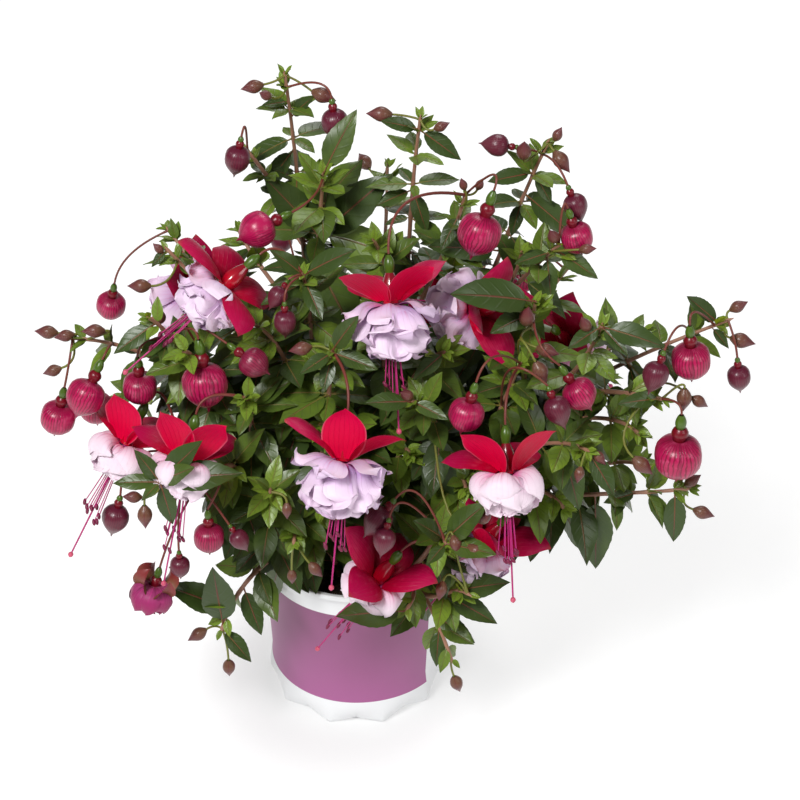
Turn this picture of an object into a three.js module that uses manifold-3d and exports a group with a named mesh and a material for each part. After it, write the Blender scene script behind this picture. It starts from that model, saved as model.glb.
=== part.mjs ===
// A potted fuchsia with double flowers, in millimetres, +Z up.
// A round white nursery pot holds soil, from which leafy stems grow with their small buds. The large
// buds and the flowers hang from them. The origin is the middle of the pot's foot, and the viewer of
// the photograph stands on the -Y side.
import * as THREE from "three";
import { mergeVertices } from "three/addons/utils/BufferGeometryUtils.js";
import Module from "manifold-3d";

const wasm = await Module();
wasm.setup();

const DEGREE = Math.PI / 180;
const UP = new THREE.Vector3(0, 0, 1);
const DOWN = [0, 0, -1];
const GAP = 0.3; // between solids that touch in the real plant

// Driving dimensions of the pot and its soil
const POT = {
  rimRadius: 60,
  lipDepth: 4,
  lipOut: 1.6,
  height: 112,
  wall: 1.4,
  floor: 2.4,
  footRadius: 56.5,
  waistRadius: 54.5,
  waistHeight: 25,
  soilBelowRim: 9,
  recesses: 10,
  recess: 4.5,
  recessRise: 3,
  recessHalf: 17,
  segments: 30,
};
const SOIL = { segments: 16, mound: 3, stemDepth: 16, stemClearance: 0.35 };

// Driving dimensions of the plant
const STEM = { tipRadius: 1.1, rootRadius: 2.8, sides: 3, node: 1.1 };
const PEDICEL = { radius: 0.75, sides: 3, pieces: 3 };
const CORE = {
  sides: 4,
  radii: [21, 18, 15, 12, 9.5],
  from: 34,
  to: 150,
  shoots: ["Q1", "D1", "G1", "H1", "I1", "J1", "O1"],
};
const LEAF = { width: 0.47, petiole: 0.12, keel: -0.6, fold: 0.06 };
const PAIR_AT = [4, 13, 29, 50, 74, 99, 124, 149]; // from the shoot's tip, along the stem
const PAIR_LENGTH = [10, 18, 30, 40, 46, 48, 46, 42];
const PAIR_RISE = [62, 48, 34, 22, 14, 8, 4, 0]; // degrees above square to the stem
const PAIR_DROOP = [0, 0.05, 0.15, 0.28, 0.38, 0.42, 0.46, 0.5];
const BLOOM = {
  ovary: 10,
  ovaryRadius: 3.1,
  tube: 17,
  tubeRadius: 5.1,
  sepal: 38,
  sepalWidth: 24,
  petal: 31,
  petalWidth: 25,
  pistil: 74,
  stamen: 47,
};

// The photograph's view, worked out from the pot's ellipses. It is 800 pixels square.
const VIEW = { focal: 2490, centre: 400, elevation: 37 * DEGREE, distance: 1500, across: 28, up: 218 };
// How far the plant's mound bulges towards the viewer, mm, at each height in the photograph, pixels
const MOUND = [[60, -70], [150, -30], [250, 20], [350, 70], [450, 108], [550, 118], [690, 104]];
const MOUND_MIDDLE = 395; // pixels
const MOUND_HALF_WIDTH = 385; // pixels

// The point seen at a pixel of the photograph, on the upright plane so far towards the viewer.
function sighted([u, v], toward) {
  const [sin, cos] = [Math.sin(VIEW.elevation), Math.cos(VIEW.elevation)];
  const fall = (v - VIEW.centre) / VIEW.focal;
  const rise = (sin * toward - fall * (VIEW.distance - cos * toward)) / (cos - sin * fall);
  const depth = VIEW.distance - cos * toward - sin * rise;
  return new THREE.Vector3(VIEW.across + ((u - VIEW.centre) / VIEW.focal) * depth, -toward, VIEW.up + rise);
}

// The same on the mound's surface, or so far behind it.
function onMound(pixel, deep = 0) {
  const [u, v] = pixel;
  let i = 1;
  while (i < MOUND.length - 1 && v > MOUND[i][0]) i++;
  const [[v0, out0], [v1, out1]] = [MOUND[i - 1], MOUND[i]];
  const bulge = out0 + ((v - v0) / (v1 - v0)) * (out1 - out0);
  const across = (u - MOUND_MIDDLE) / MOUND_HALF_WIDTH;
  return sighted(pixel, bulge * Math.sqrt(Math.max(0, 1 - across * across)) - deep);
}

// A repeatable number from 0 to 1 for three whole numbers.
function draw(a, b, c) {
  const wave = Math.sin(a * 127.1 + b * 311.7 + c * 74.7) * 43758.5453;
  return wave - Math.floor(wave);
}

const point = ([x, y, z]) => new THREE.Vector3(x, y, z);
const placeOf = (item) => (item.at.length === 3 ? point(item.at) : onMound(item.at, item.deep));

// The shoots. `at` is the tip: a pixel of the photograph, or a point for those behind the plant. `end` is
// the way the tip points. A shoot with no `fork` rises from the soil; the others leave the shoot named
// there at that share of its length. `leaf` scales the leaves, `turn` turns the pairs round the stem, and
// `pairs` is how many pairs it bears.
const SHOOTS = [
  { id: "A1", stem: 1, at: [284, 70], end: [-0.1, -0.1, 1], leaf: 0.78, turn: 20, pairs: 6 },
  {
    id: "A2", stem: 1, at: [323, 172], deep: 10, fork: ["A1", 0.42],
    end: [0.05, -0.35, 0.9], leaf: 1.25, turn: 35, pairs: 5,
  },
  {
    id: "A3", stem: 1, at: [244, 146], deep: 15, fork: ["A1", 0.62],
    end: [-0.5, 0, 0.8], leaf: 0.5, turn: 0, pairs: 3,
  },
  { id: "B1", stem: 2, at: [421, 114], end: [0.12, 0, 1], leaf: 0.78, turn: 0, pairs: 5 },
  {
    id: "B2", stem: 2, at: [466, 190], deep: 8, fork: ["B1", 0.5],
    end: [0.15, -0.1, 1], leaf: 0.6, turn: 10, pairs: 4,
  },
  { id: "C1", stem: 3, at: [550, 138], end: [0.35, -0.1, 1], leaf: 0.75, turn: 30, pairs: 6 },
  {
    id: "C2", stem: 3, at: [562, 243], fork: ["C1", 0.5],
    end: [0.4, -0.45, 0.7], leaf: 0.8, turn: 0, pairs: 4,
  },
  { id: "D1", stem: 4, at: [302, 272], deep: -6, end: [-0.1, -0.5, 0.85], leaf: 0.85, turn: 50, pairs: 5 },
  {
    id: "D2", stem: 4, at: [164, 246], fork: ["D1", 0.4],
    end: [-0.6, 0, 0.8], leaf: 0.7, turn: 0, pairs: 5,
  },
  { id: "E1", stem: 5, at: [66, 338], end: [-1, -0.1, 0.1], leaf: 0.72, turn: 60, pairs: 6 },
  {
    id: "E2", stem: 5, at: [146, 316], fork: ["E1", 0.5],
    end: [-0.5, -0.4, 0.7], leaf: 0.8, turn: 20, pairs: 5,
  },
  { id: "F1", stem: 6, at: [149, 478], end: [-0.6, -0.75, 0.1], leaf: 0.95, turn: 20, pairs: 5 },
  {
    id: "F2", stem: 6, at: [243, 398], fork: ["F1", 0.5],
    end: [-0.2, -0.8, 0.5], leaf: 0.85, turn: 0, pairs: 4,
  },
  { id: "G1", stem: 7, at: [221, 634], deep: 22, end: [-0.15, -0.25, -1], leaf: 0.78, turn: 80, pairs: 5 },
  {
    id: "G2", stem: 7, at: [270, 494], fork: ["G1", 0.4],
    end: [0, -0.9, 0.3], leaf: 0.75, turn: 40, pairs: 4,
  },
  { id: "H1", stem: 8, at: [294, 548], deep: 20, end: [0.05, -0.9, -0.3], leaf: 0.78, turn: 0, pairs: 4 },
  {
    id: "H2", stem: 8, at: [332, 350], fork: ["H1", 0.35],
    end: [0, -0.65, 0.75], leaf: 0.9, turn: 60, pairs: 5,
  },
  { id: "I1", stem: 9, at: [453, 664], deep: 12, end: [0.3, -0.2, -1], leaf: 0.8, turn: 70, pairs: 5 },
  {
    id: "I2", stem: 9, at: [446, 545], deep: 5, fork: ["I1", 0.4],
    end: [0.1, -0.9, 0.1], leaf: 0.75, turn: 20, pairs: 4,
  },
  {
    id: "I3", stem: 9, at: [472, 597], deep: 12, fork: ["I1", 0.55],
    end: [0.6, -0.7, -0.2], leaf: 0.8, turn: 30, pairs: 3,
  },
  { id: "J1", stem: 10, at: [590, 452], end: [0.4, -0.85, 0.3], leaf: 0.9, turn: 10, pairs: 5 },
  {
    id: "J2", stem: 10, at: [522, 362], fork: ["J1", 0.4],
    end: [0.1, -0.65, 0.75], leaf: 0.85, turn: 40, pairs: 4,
  },
  {
    id: "J3", stem: 10, at: [411, 402], fork: ["J1", 0.3],
    end: [-0.3, -0.8, 0.5], leaf: 0.75, turn: 70, pairs: 4,
  },
  { id: "K1", stem: 11, at: [734, 318], end: [0.9, -0.1, 0.5], leaf: 0.75, turn: 30, pairs: 7 },
  {
    id: "K2", stem: 11, at: [668, 400], fork: ["K1", 0.6],
    end: [0.85, -0.4, 0.1], leaf: 0.7, turn: 0, pairs: 4,
  },
  { id: "L1", stem: 12, at: [603, 322], end: [0.15, -0.3, 1], leaf: 0.85, turn: 20, pairs: 5 },
  {
    id: "L2", stem: 12, at: [536, 300], fork: ["L1", 0.45],
    end: [0.05, -0.5, 0.85], leaf: 0.85, turn: 65, pairs: 5,
  },
  { id: "M1", stem: 13, at: [694, 488], deep: 5, end: [1, -0.1, 0.25], leaf: 0.85, turn: 40, pairs: 5 },
  { id: "N1", stem: 14, at: [-120, 120, 265], end: [-0.6, 0.6, 0.5], leaf: 0.9, turn: 0, pairs: 6 },
  {
    id: "N2", stem: 14, at: [-158, 92, 150], fork: ["N1", 0.45],
    end: [-0.7, 0.5, -0.4], leaf: 0.85, turn: 40, pairs: 5,
  },
  { id: "O1", stem: 15, at: [20, 138, 300], end: [0, 0.6, 0.8], leaf: 0.95, turn: 30, pairs: 6 },
  {
    id: "O2", stem: 15, at: [-35, 165, 165], fork: ["O1", 0.4],
    end: [-0.1, 0.9, -0.4], leaf: 0.9, turn: 10, pairs: 6,
  },
  { id: "P1", stem: 16, at: [135, 105, 245], end: [0.6, 0.6, 0.5], leaf: 0.9, turn: 20, pairs: 6 },
  { id: "Q1", stem: 17, at: [378, 306], deep: 14, end: [-0.1, -0.3, 1], leaf: 0.95, turn: 30, pairs: 6 },
  {
    id: "Q2", stem: 17, at: [446, 352], deep: 16, fork: ["Q1", 0.5],
    end: [0.3, -0.7, 0.5], leaf: 1, turn: 70, pairs: 4,
  },
  {
    id: "Q3", stem: 17, at: [410, 455], deep: 45, fork: ["Q1", 0.3],
    end: [0.1, -0.9, 0.1], leaf: 1, turn: 20, pairs: 4,
  },
  {
    id: "Q4", stem: 17, at: [318, 425], deep: 35, fork: ["Q1", 0.4],
    end: [-0.4, -0.8, 0.3], leaf: 1, turn: 0, pairs: 4,
  },
  {
    id: "B3", stem: 2, at: [372, 238], deep: 18, fork: ["B1", 0.45],
    end: [-0.3, -0.4, 0.8], leaf: 0.9, turn: 40, pairs: 4,
  },
  {
    id: "C3", stem: 3, at: [522, 250], deep: 8, fork: ["C1", 0.45],
    end: [0, -0.5, 0.8], leaf: 0.9, turn: 0, pairs: 4,
  },
  {
    id: "D3", stem: 4, at: [246, 322], deep: 12, fork: ["D1", 0.4],
    end: [-0.5, -0.5, 0.5], leaf: 0.95, turn: 30, pairs: 4,
  },
  {
    id: "E3", stem: 5, at: [182, 352], deep: 4, fork: ["E1", 0.45],
    end: [-0.2, -0.8, 0.5], leaf: 0.9, turn: 50, pairs: 3,
  },
  {
    id: "F3", stem: 6, at: [216, 478], deep: 26, fork: ["F1", 0.4],
    end: [-0.3, -0.9, -0.1], leaf: 0.95, turn: 60, pairs: 3,
  },
  {
    id: "G3", stem: 7, at: [322, 512], deep: 34, fork: ["G1", 0.3],
    end: [0.3, -0.8, 0], leaf: 0.95, turn: 10, pairs: 3,
  },
  {
    id: "I4", stem: 9, at: [404, 612], deep: 16, fork: ["I1", 0.35],
    end: [-0.7, -0.6, -0.4], leaf: 0.9, turn: 20, pairs: 3,
  },
  {
    id: "J4", stem: 10, at: [566, 512], deep: 26, fork: ["J1", 0.4],
    end: [0.4, -0.8, -0.4], leaf: 1, turn: 50, pairs: 4,
  },
  {
    id: "J5", stem: 10, at: [466, 492], deep: 36, fork: ["J1", 0.25],
    end: [0, -0.9, -0.1], leaf: 1, turn: 20, pairs: 4,
  },
  {
    id: "K3", stem: 11, at: [640, 436], deep: 12, fork: ["K1", 0.45],
    end: [0.3, -0.8, 0], leaf: 0.9, turn: 30, pairs: 4,
  },
  {
    id: "L3", stem: 12, at: [648, 330], deep: 10, fork: ["L1", 0.45],
    end: [0.7, -0.3, 0.5], leaf: 0.95, turn: 50, pairs: 4,
  },
  {
    id: "M2", stem: 13, at: [655, 470], deep: 20, fork: ["M1", 0.4],
    end: [0.6, -0.6, 0], leaf: 0.9, turn: 10, pairs: 3,
  },
  {
    id: "A4", stem: 1, at: [-72, 88, 285], fork: ["A1", 0.4],
    end: [-0.4, 0.6, 0.7], leaf: 0.95, turn: 30, pairs: 4,
  },
  {
    id: "C4", stem: 3, at: [88, 92, 280], fork: ["C1", 0.4],
    end: [0.4, 0.6, 0.7], leaf: 0.95, turn: 0, pairs: 4,
  },
  {
    id: "N3", stem: 14, at: [-84, 138, 200], fork: ["N1", 0.4],
    end: [-0.2, 0.9, 0.1], leaf: 1, turn: 20, pairs: 4,
  },
  {
    id: "O3", stem: 15, at: [76, 122, 250], fork: ["O1", 0.45],
    end: [0.4, 0.7, 0.5], leaf: 1, turn: 50, pairs: 4,
  },
  {
    id: "O4", stem: 15, at: [-42, 128, 262], fork: ["O1", 0.5],
    end: [-0.4, 0.7, 0.5], leaf: 1, turn: 10, pairs: 4,
  },
  {
    id: "P3", stem: 16, at: [162, 62, 188], fork: ["P1", 0.45],
    end: [0.8, 0.4, -0.2], leaf: 0.95, turn: 40, pairs: 4,
  },
  {
    id: "P4", stem: 16, at: [64, 140, 182], fork: ["P1", 0.3],
    end: [0.1, 0.9, -0.1], leaf: 1, turn: 70, pairs: 4,
  },
  {
    id: "P2", stem: 16, at: [95, 145, 140], fork: ["P1", 0.4],
    end: [0.5, 0.8, -0.5], leaf: 0.85, turn: 60, pairs: 5,
  },
];

// The flowers. `at` is where the corolla leaves the tube, `on` the shoot that the flower hangs from, and
// `way` the way it hangs. Each of the four sepals has a turn about that line and an angle above square to it.
const BLOOMS = [
  {
    at: [223, 287], deep: -8, on: "D1", way: [-0.75, -0.4, -0.53],
    sepals: [[102, -6], [-168, 24], [-96, 18], [6, -8]],
  },
  {
    at: [391, 303], deep: -8, on: "B2", way: [0.05, -0.5, -0.86],
    sepals: [[145, 26], [50, 30], [-14, 32], [-125, 15]],
  },
  {
    at: [472, 308], deep: 26, on: "L2", way: [-0.6, 0.35, -0.25],
    sepals: [[20, 32], [110, 45], [200, 36], [290, 30]],
  },
  {
    at: [343, 460], deep: -6, on: "H2", way: [-0.1, -0.48, -0.87],
    sepals: [[84, 62], [10, 26], [158, 30], [-96, 8]],
  },
  {
    at: [507, 473], on: "J2", way: [0.04, -0.5, -0.86],
    sepals: [[150, 40], [28, 42], [205, 6], [-60, 12]],
  },
  {
    at: [378, 579], deep: 22, on: "I2", way: [-0.48, 0.1, -0.84],
    sepals: [[24, 10], [-72, 48], [-174, 8], [92, 30]],
  },
  {
    at: [484, 543], deep: 34, on: "J5", way: [-0.5, 0, -0.8],
    sepals: [[10, 34], [100, 40], [190, 44], [280, 34]],
  },
  {
    at: [126, 444], deep: 12, on: "F1", way: [-0.45, -0.45, -0.77],
    sepals: [[88, 44], [3, 28], [-92, 22], [168, 22]],
  },
  {
    at: [187, 461], deep: 8, on: "F2", way: [-0.2, -0.42, -0.88],
    sepals: [[110, 50], [26, 48], [-74, 16], [184, 10]],
  },
  {
    at: [-108, 138, 203], on: "N1", way: [-0.4, 0.55, -0.7],
    sepals: [[15, 50], [105, 42], [195, 52], [285, 46]],
  },
  {
    at: [52, 170, 168], on: "O1", way: [0.2, 0.6, -0.75],
    sepals: [[40, 52], [130, 36], [220, 44], [310, 56]],
  },
  {
    at: [138, 125, 170], on: "P1", way: [0.45, 0.4, -0.8],
    sepals: [[0, 42], [90, 54], [180, 40], [270, 48]],
  },
];

// The buds. `at` is the middle of the bulb, `size` its diameter in mm, `on` the shoot and `way` the way it
// points. Those of LOOSE_BUD or more are pieces of their own.
const LOOSE_BUD = 17;
const BUDS = [
  { at: [237, 160], size: 15, on: "A3", way: [-0.2, 0, -1] },
  { at: [257, 230], size: 21, on: "A2", way: [-0.85, -0.5, -0.2] },
  { at: [335, 124], deep: 8, size: 16, on: "A1", way: [0.1, 0, -1] },
  { at: [324, 96], size: 9, on: "A1", way: [0.9, -0.2, -0.3] },
  { at: [252, 87], size: 8, on: "A1", way: [-0.9, -0.2, -0.1] },
  { at: [265, 95], deep: -4, size: 6, on: "A1", way: [-0.6, -0.5, 0.6] },
  { at: [379, 114], size: 9, on: "B1", way: [-0.9, -0.1, 0.1] },
  { at: [442, 126], size: 6, on: "B1", way: [0.6, 0, 0.3] },
  { at: [496, 145], size: 13, on: "C1", way: [-0.8, 0, 0.1] },
  { at: [524, 150], size: 9, on: "C1", way: [0, -0.3, 0.9] },
  { at: [562, 162], size: 9, on: "C1", way: [0.5, -0.3, -0.6] },
  { at: [558, 134], size: 6, on: "C1", way: [0.4, 0, 0.9] },
  { at: [479, 234], deep: -4, size: 25, on: "B2", way: [-0.3, -0.2, -0.95] },
  { at: [576, 207], size: 14, on: "C1", way: [0.35, -0.1, -0.9] },
  { at: [577, 238], deep: 8, size: 19, on: "C2", way: [0.3, 0, -1] },
  { at: [463, 184], size: 5, on: "B2", way: [-0.3, 0, 1] },
  { at: [480, 184], size: 5, on: "B2", way: [0.4, 0, 1] },
  { at: [553, 236], deep: -3, size: 7, on: "C2", way: [-0.4, -0.3, 0.9] },
  { at: [588, 249], size: 6, on: "C2", way: [0.9, -0.2, 0.2] },
  { at: [285, 323], size: 13, on: "D1", way: [0, -0.1, -1] },
  { at: [277, 297], size: 11, on: "D1", way: [-0.5, -0.5, -0.6] },
  { at: [139, 286], size: 8, on: "D2", way: [-0.95, 0, 0] },
  { at: [158, 248], size: 5, on: "D2", way: [-0.6, 0, 0.7] },
  { at: [85, 397], deep: -6, size: 22, on: "E1", way: [-0.45, -0.4, -0.85] },
  { at: [58, 418], size: 21, on: "E1", way: [-0.25, 0, -1] },
  { at: [96, 408], deep: 18, size: 20, on: "E1", way: [0, 0, -1] },
  { at: [140, 388], deep: 6, size: 20, on: "E2", way: [0, 0, -1] },
  { at: [46, 332], size: 8, on: "E1", way: [-0.95, 0, 0.1] },
  { at: [64, 336], deep: -5, size: 7, on: "E1", way: [-0.9, -0.3, 0] },
  { at: [93, 331], size: 8, on: "E1", way: [-0.9, -0.2, 0.1] },
  { at: [52, 371], size: 7, on: "E1", way: [-0.8, 0, -0.3] },
  { at: [160, 316], size: 7, on: "E2", way: [0.1, -0.2, 1] },
  { at: [205, 385], deep: -8, size: 26, on: "E2", way: [0.1, -0.2, -1] },
  { at: [254, 363], size: 17, on: "D1", way: [0.8, -0.3, -0.5] },
  { at: [300, 349], size: 8, on: "H2", way: [-0.9, -0.3, 0] },
  { at: [115, 519], size: 16, on: "F1", way: [-0.25, -0.1, -1] },
  { at: [145, 517], size: 9, on: "F1", way: [0, -0.2, -1] },
  { at: [132, 497], size: 7, on: "F1", way: [-0.7, -0.2, 0.2] },
  { at: [209, 538], deep: -4, size: 18, on: "F1", way: [0, -0.1, -1] },
  { at: [240, 540], size: 11, on: "F1", way: [0.5, -0.2, -0.8] },
  { at: [180, 567], size: 12, on: "F1", way: [0, 0, -1] },
  { at: [151, 598], size: 20, on: "F1", way: [-0.3, -0.2, -1] },
  { at: [287, 511], size: 6, on: "G2", way: [0, -0.3, -1] },
  { at: [197, 635], deep: 22, size: 8, on: "G1", way: [-0.7, -0.2, -0.4] },
  { at: [229, 668], deep: 22, size: 8, on: "G1", way: [0, 0, -1] },
  { at: [292, 577], deep: 22, size: 6, on: "H1", way: [0, -0.1, -1] },
  { at: [316, 570], deep: 22, size: 7, on: "H1", way: [0.6, -0.2, -0.7] },
  { at: [377, 521], deep: 8, size: 16, on: "I2", way: [-0.6, -0.3, -0.7] },
  { at: [384, 541], deep: -2, size: 13, on: "I2", way: [-0.2, -0.4, -0.8] },
  { at: [406, 395], size: 7, on: "J3", way: [-0.5, -0.4, 0.6] },
  { at: [456, 545], deep: 2, size: 7, on: "I2", way: [0.3, -0.5, -0.8] },
  { at: [478, 552], deep: -4, size: 8, on: "I3", way: [0.7, -0.4, -0.3] },
  { at: [485, 516], size: 8, on: "J3", way: [0.5, -0.2, 0.7] },
  { at: [457, 684], deep: 12, size: 8, on: "I1", way: [0.3, 0, -1] },
  { at: [441, 591], deep: 10, size: 7, on: "I3", way: [-0.2, -0.5, -0.7] },
  { at: [466, 415], size: 20, on: "J2", way: [-0.25, -0.1, -1] },
  { at: [527, 316], size: 9, on: "L2", way: [0.1, -0.2, 1] },
  { at: [548, 351], size: 8, on: "L2", way: [0.8, -0.3, -0.1] },
  { at: [541, 373], size: 9, on: "L2", way: [0.4, -0.2, -0.8] },
  { at: [580, 394], size: 19, on: "L2", way: [0.5, -0.2, -0.7] },
  { at: [558, 411], deep: -5, size: 15, on: "J2", way: [0.35, -0.3, -0.8] },
  { at: [585, 324], size: 7, on: "L1", way: [-0.4, -0.1, 1] },
  { at: [655, 376], deep: -6, size: 15, on: "K1", way: [-0.3, -0.3, -0.9] },
  { at: [691, 361], size: 23, on: "K1", way: [0.1, 0, -1] },
  { at: [739, 378], size: 14, on: "K1", way: [0.15, 0, -1] },
  { at: [743, 341], size: 9, on: "K1", way: [0.9, -0.1, -0.2] },
  { at: [739, 306], size: 7, on: "K1", way: [0.8, 0, 0.5] },
  { at: [678, 457], deep: -4, size: 28, on: "K2", way: [0, 0, -1] },
  { at: [684, 400], size: 9, on: "K2", way: [0, -0.1, -1] },
  { at: [700, 402], size: 7, on: "K2", way: [0.7, 0, -0.5] },
  { at: [643, 466], size: 9, on: "K2", way: [0.6, -0.2, -0.5] },
  { at: [693, 480], size: 7, on: "M1", way: [0.7, 0, 0.6] },
  { at: [704, 513], size: 8, on: "M1", way: [0.9, -0.1, -0.3] },
  { at: [579, 475], size: 6, on: "J1", way: [-0.2, -0.4, -0.9] },
  { at: [600, 458], size: 6, on: "J1", way: [0.5, -0.4, -0.5] },
  { at: [-158, 118, 205], size: 19, on: "N1", way: [-0.2, 0.2, -1] },
  { at: [-50, 178, 215], size: 15, on: "O2", way: [0, 0.3, -1] },
  { at: [5, 165, 285], size: 9, on: "O1", way: [-0.4, 0.8, 0.2] },
  { at: [108, 150, 205], size: 20, on: "P1", way: [0.2, 0.2, -1] },
];

// The leaves' outline: its half width at share s of the length, as a share of the greatest.
function leafHalfWidth(s) {
  const q = Math.max(0, (s - LEAF.petiole) / (1 - LEAF.petiole));
  return 3.247 * q ** 0.7 * (1 - q) ** 1.05;
}

// A closed skin over rings of points. A ring is one point, or as many as its neighbours have.
function skin(rings) {
  const positions = rings.flat().flatMap((p) => [p.x, p.y, p.z]);
  const faces = [];
  let start = 0;
  rings.forEach((ring, i) => {
    const next = rings[i + 1];
    if (ring.length > 1 && (i === 0 || !next)) {
      for (let j = 1; j + 1 < ring.length; j++) {
        faces.push(...(next ? [start, start + j + 1, start + j] : [start, start + j, start + j + 1]));
      }
    }
    if (!next) return;
    const sides = Math.max(ring.length, next.length);
    for (let j = 0; j < sides; j++) {
      const k = (j + 1) % sides;
      const [a0, a1] = ring.length > 1 ? [start + j, start + k] : [start, start];
      const over = start + ring.length;
      const [b0, b1] = next.length > 1 ? [over + j, over + k] : [over, over];
      if (a0 !== a1) faces.push(a0, a1, b1);
      if (b0 !== b1) faces.push(a0, b1, b0);
    }
    start += ring.length;
  });
  return geometryOf(positions, faces);
}

function geometryOf(positions, faces) {
  const geometry = new THREE.BufferGeometry();
  geometry.setAttribute("position", new THREE.Float32BufferAttribute(positions, 3));
  geometry.setIndex(faces);
  return geometry;
}

// A closed geometry as a solid, its faces turned outwards.
function solidOf(geometry) {
  const bare = geometry.clone();
  bare.deleteAttribute("normal");
  bare.deleteAttribute("uv");
  const merged = mergeVertices(bare, 1e-4);
  const triVerts = new Uint32Array(merged.index.array);
  const vertProperties = merged.attributes.position.array;
  const solid = new wasm.Manifold(new wasm.Mesh({ numProp: 3, vertProperties, triVerts }));
  if (solid.volume() > 0) return solid;
  triVerts.reverse();
  return new wasm.Manifold(new wasm.Mesh({ numProp: 3, vertProperties, triVerts }));
}

// Two directions square to an axis, and to each other.
function across(axis, hint = UP) {
  let side = new THREE.Vector3().crossVectors(hint, axis);
  if (side.length() < 0.05) side = new THREE.Vector3().crossVectors(new THREE.Vector3(0, 1, 0.2), axis);
  side.normalize();
  return [side, new THREE.Vector3().crossVectors(axis, side).normalize()];
}

// The direction at an angle round an axis whose frame is given.
function outward([a, b], angle) {
  return a.clone().multiplyScalar(Math.cos(angle)).addScaledVector(b, Math.sin(angle));
}

function ring(centre, frame, radius, sides) {
  return Array.from({ length: sides }, (_, j) =>
    centre.clone().addScaledVector(outward(frame, (j * 2 * Math.PI) / sides), radius),
  );
}

// A rod through some points, with a radius at each. A radius of zero ends it in a point.
function rod(points, radii, sides) {
  let frame = null;
  return skin(
    points.map((p, i) => {
      const ahead = points[Math.min(i + 1, points.length - 1)];
      const behind = points[Math.max(i - 1, 0)];
      frame = across(ahead.clone().sub(behind).normalize(), frame ? frame[1] : UP);
      return radii[i] > 0 ? ring(p, frame, radii[i], sides) : [p];
    }),
  );
}

// A rod along a straight axis: its profile is pairs of distance along and radius.
function turned(origin, axis, profile, sides) {
  const points = profile.map(([distance]) => origin.clone().addScaledVector(axis, distance));
  return rod(points, profile.map(([, radius]) => radius), sides);
}

// A thin blade along a centreline, its middle raised by `keel` and its edges by `fold` times the half
// width. Each station has its place, half width, the blade's sideways direction and its normal.
function blade(base, stations, tip, keel, fold) {
  return skin([[base], ...stations.map((station) => bladeRing(station, keel, fold)), [tip]]);
}

function bladeRing({ centre, half, side, normal }, keel, fold) {
  const edge = (sign) =>
    centre.clone().addScaledVector(side, sign * half).addScaledVector(normal, fold * half);
  return [edge(-1), edge(1), centre.clone().addScaledVector(normal, keel)];
}

// A closed mesh that grows: a piece is grafted to one of its faces, which the piece's own skin replaces.
function newGrowth() {
  return { points: [], faces: [] };
}

// The faces between two rings of point numbers. The second has as many, twice as many, or one.
function between(a, b) {
  const faces = [];
  const ratio = b.length / a.length;
  a.forEach((low, i) => {
    const next = a[(i + 1) % a.length];
    if (b.length === 1) faces.push([low, next, b[0]]);
    if (ratio === 1) faces.push([low, next, b[(i + 1) % b.length]], [low, b[(i + 1) % b.length], b[i]]);
    if (ratio === 2) {
      const [left, middle, right] = [b[2 * i], b[2 * i + 1], b[(2 * i + 2) % b.length]];
      faces.push([low, next, middle], [low, middle, left], [next, right, middle]);
    }
  });
  return faces;
}

// Whether a segment passes through a triangle.
function pierces(p, q, [a, b, c]) {
  const way = q.clone().sub(p);
  const ray = new THREE.Ray(p, way.clone().normalize());
  const hit = ray.intersectTriangle(a, b, c, false, new THREE.Vector3());
  return hit !== null && hit.distanceTo(p) <= way.length();
}

function facesCross(s, t) {
  for (let i = 0; i < 3; i++) {
    if (pierces(s[i], s[(i + 1) % 3], t) || pierces(t[i], t[(i + 1) % 3], s)) return true;
  }
  return false;
}

const boxOf = (corners) => new THREE.Box3().setFromPoints(corners);

function cornersOf(growth, face) {
  return face.map((i) => growth.points[i]);
}

// Grafts a skin over some rings to a face, unless it would cut the rest. Its order of points is fitted to
// the face's. A last ring of more than one point is closed flat.
function graft(growth, face, rings) {
  const turns = [0, 1, 2].map((k) => [face[k], face[(k + 1) % 3], face[(k + 2) % 3]]);
  const spread = (turn) => turn.reduce((sum, n, i) => sum + growth.points[n].distanceTo(rings[0][i]), 0);
  let below = turns.sort((s, t) => spread(s) - spread(t))[0];
  const count = growth.points.length;
  const added = [];
  for (const above of rings) {
    const numbers = above.map((_, i) => growth.points.length + i);
    growth.points.push(...above);
    added.push(...between(below, numbers));
    below = numbers;
  }
  for (let i = 1; i + 1 < below.length; i++) added.push([below[0], below[i], below[i + 1]]);
  const cut = added.some((one) => {
    const corners = cornersOf(growth, one);
    const box = boxOf(corners);
    return growth.faces.some((other) => {
      if (other === face || other.some((n) => one.includes(n))) return false;
      const facing = cornersOf(growth, other);
      return box.intersectsBox(boxOf(facing)) && facesCross(corners, facing);
    });
  });
  if (cut) {
    growth.points.length = count;
    return null;
  }
  growth.faces.splice(growth.faces.indexOf(face), 1);
  growth.faces.push(...added);
  return added;
}

// Grafts to whichever free face of a stem's node looks most the way that the piece leaves it.
function graftAt(growth, node, way, rings) {
  const facing = (face) => {
    const [a, b, c] = cornersOf(growth, face);
    return new THREE.Triangle(a, b, c).getNormal(new THREE.Vector3()).dot(way);
  };
  const ranked = node.faces.filter((face) => facing(face) > 0.25).sort((s, t) => facing(t) - facing(s));
  for (const face of ranked) {
    const added = graft(growth, face, rings);
    if (!added) continue;
    node.faces.splice(node.faces.indexOf(face), 1);
    return added;
  }
  return null;
}

// Everything that is placed, so that what comes later can keep clear of it. `whole` is its solid, and
// `free` is that without its foot, where it grows from its own node.
const placed = [];

function pieceOf(node, whole, id = node, free = whole) {
  return { node, id, whole, free, box: whole.boundingBox() };
}

function boxesMeet(a, b, gap) {
  return [0, 1, 2].every((i) => a.min[i] <= b.max[i] + gap && b.min[i] <= a.max[i] + gap);
}

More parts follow.
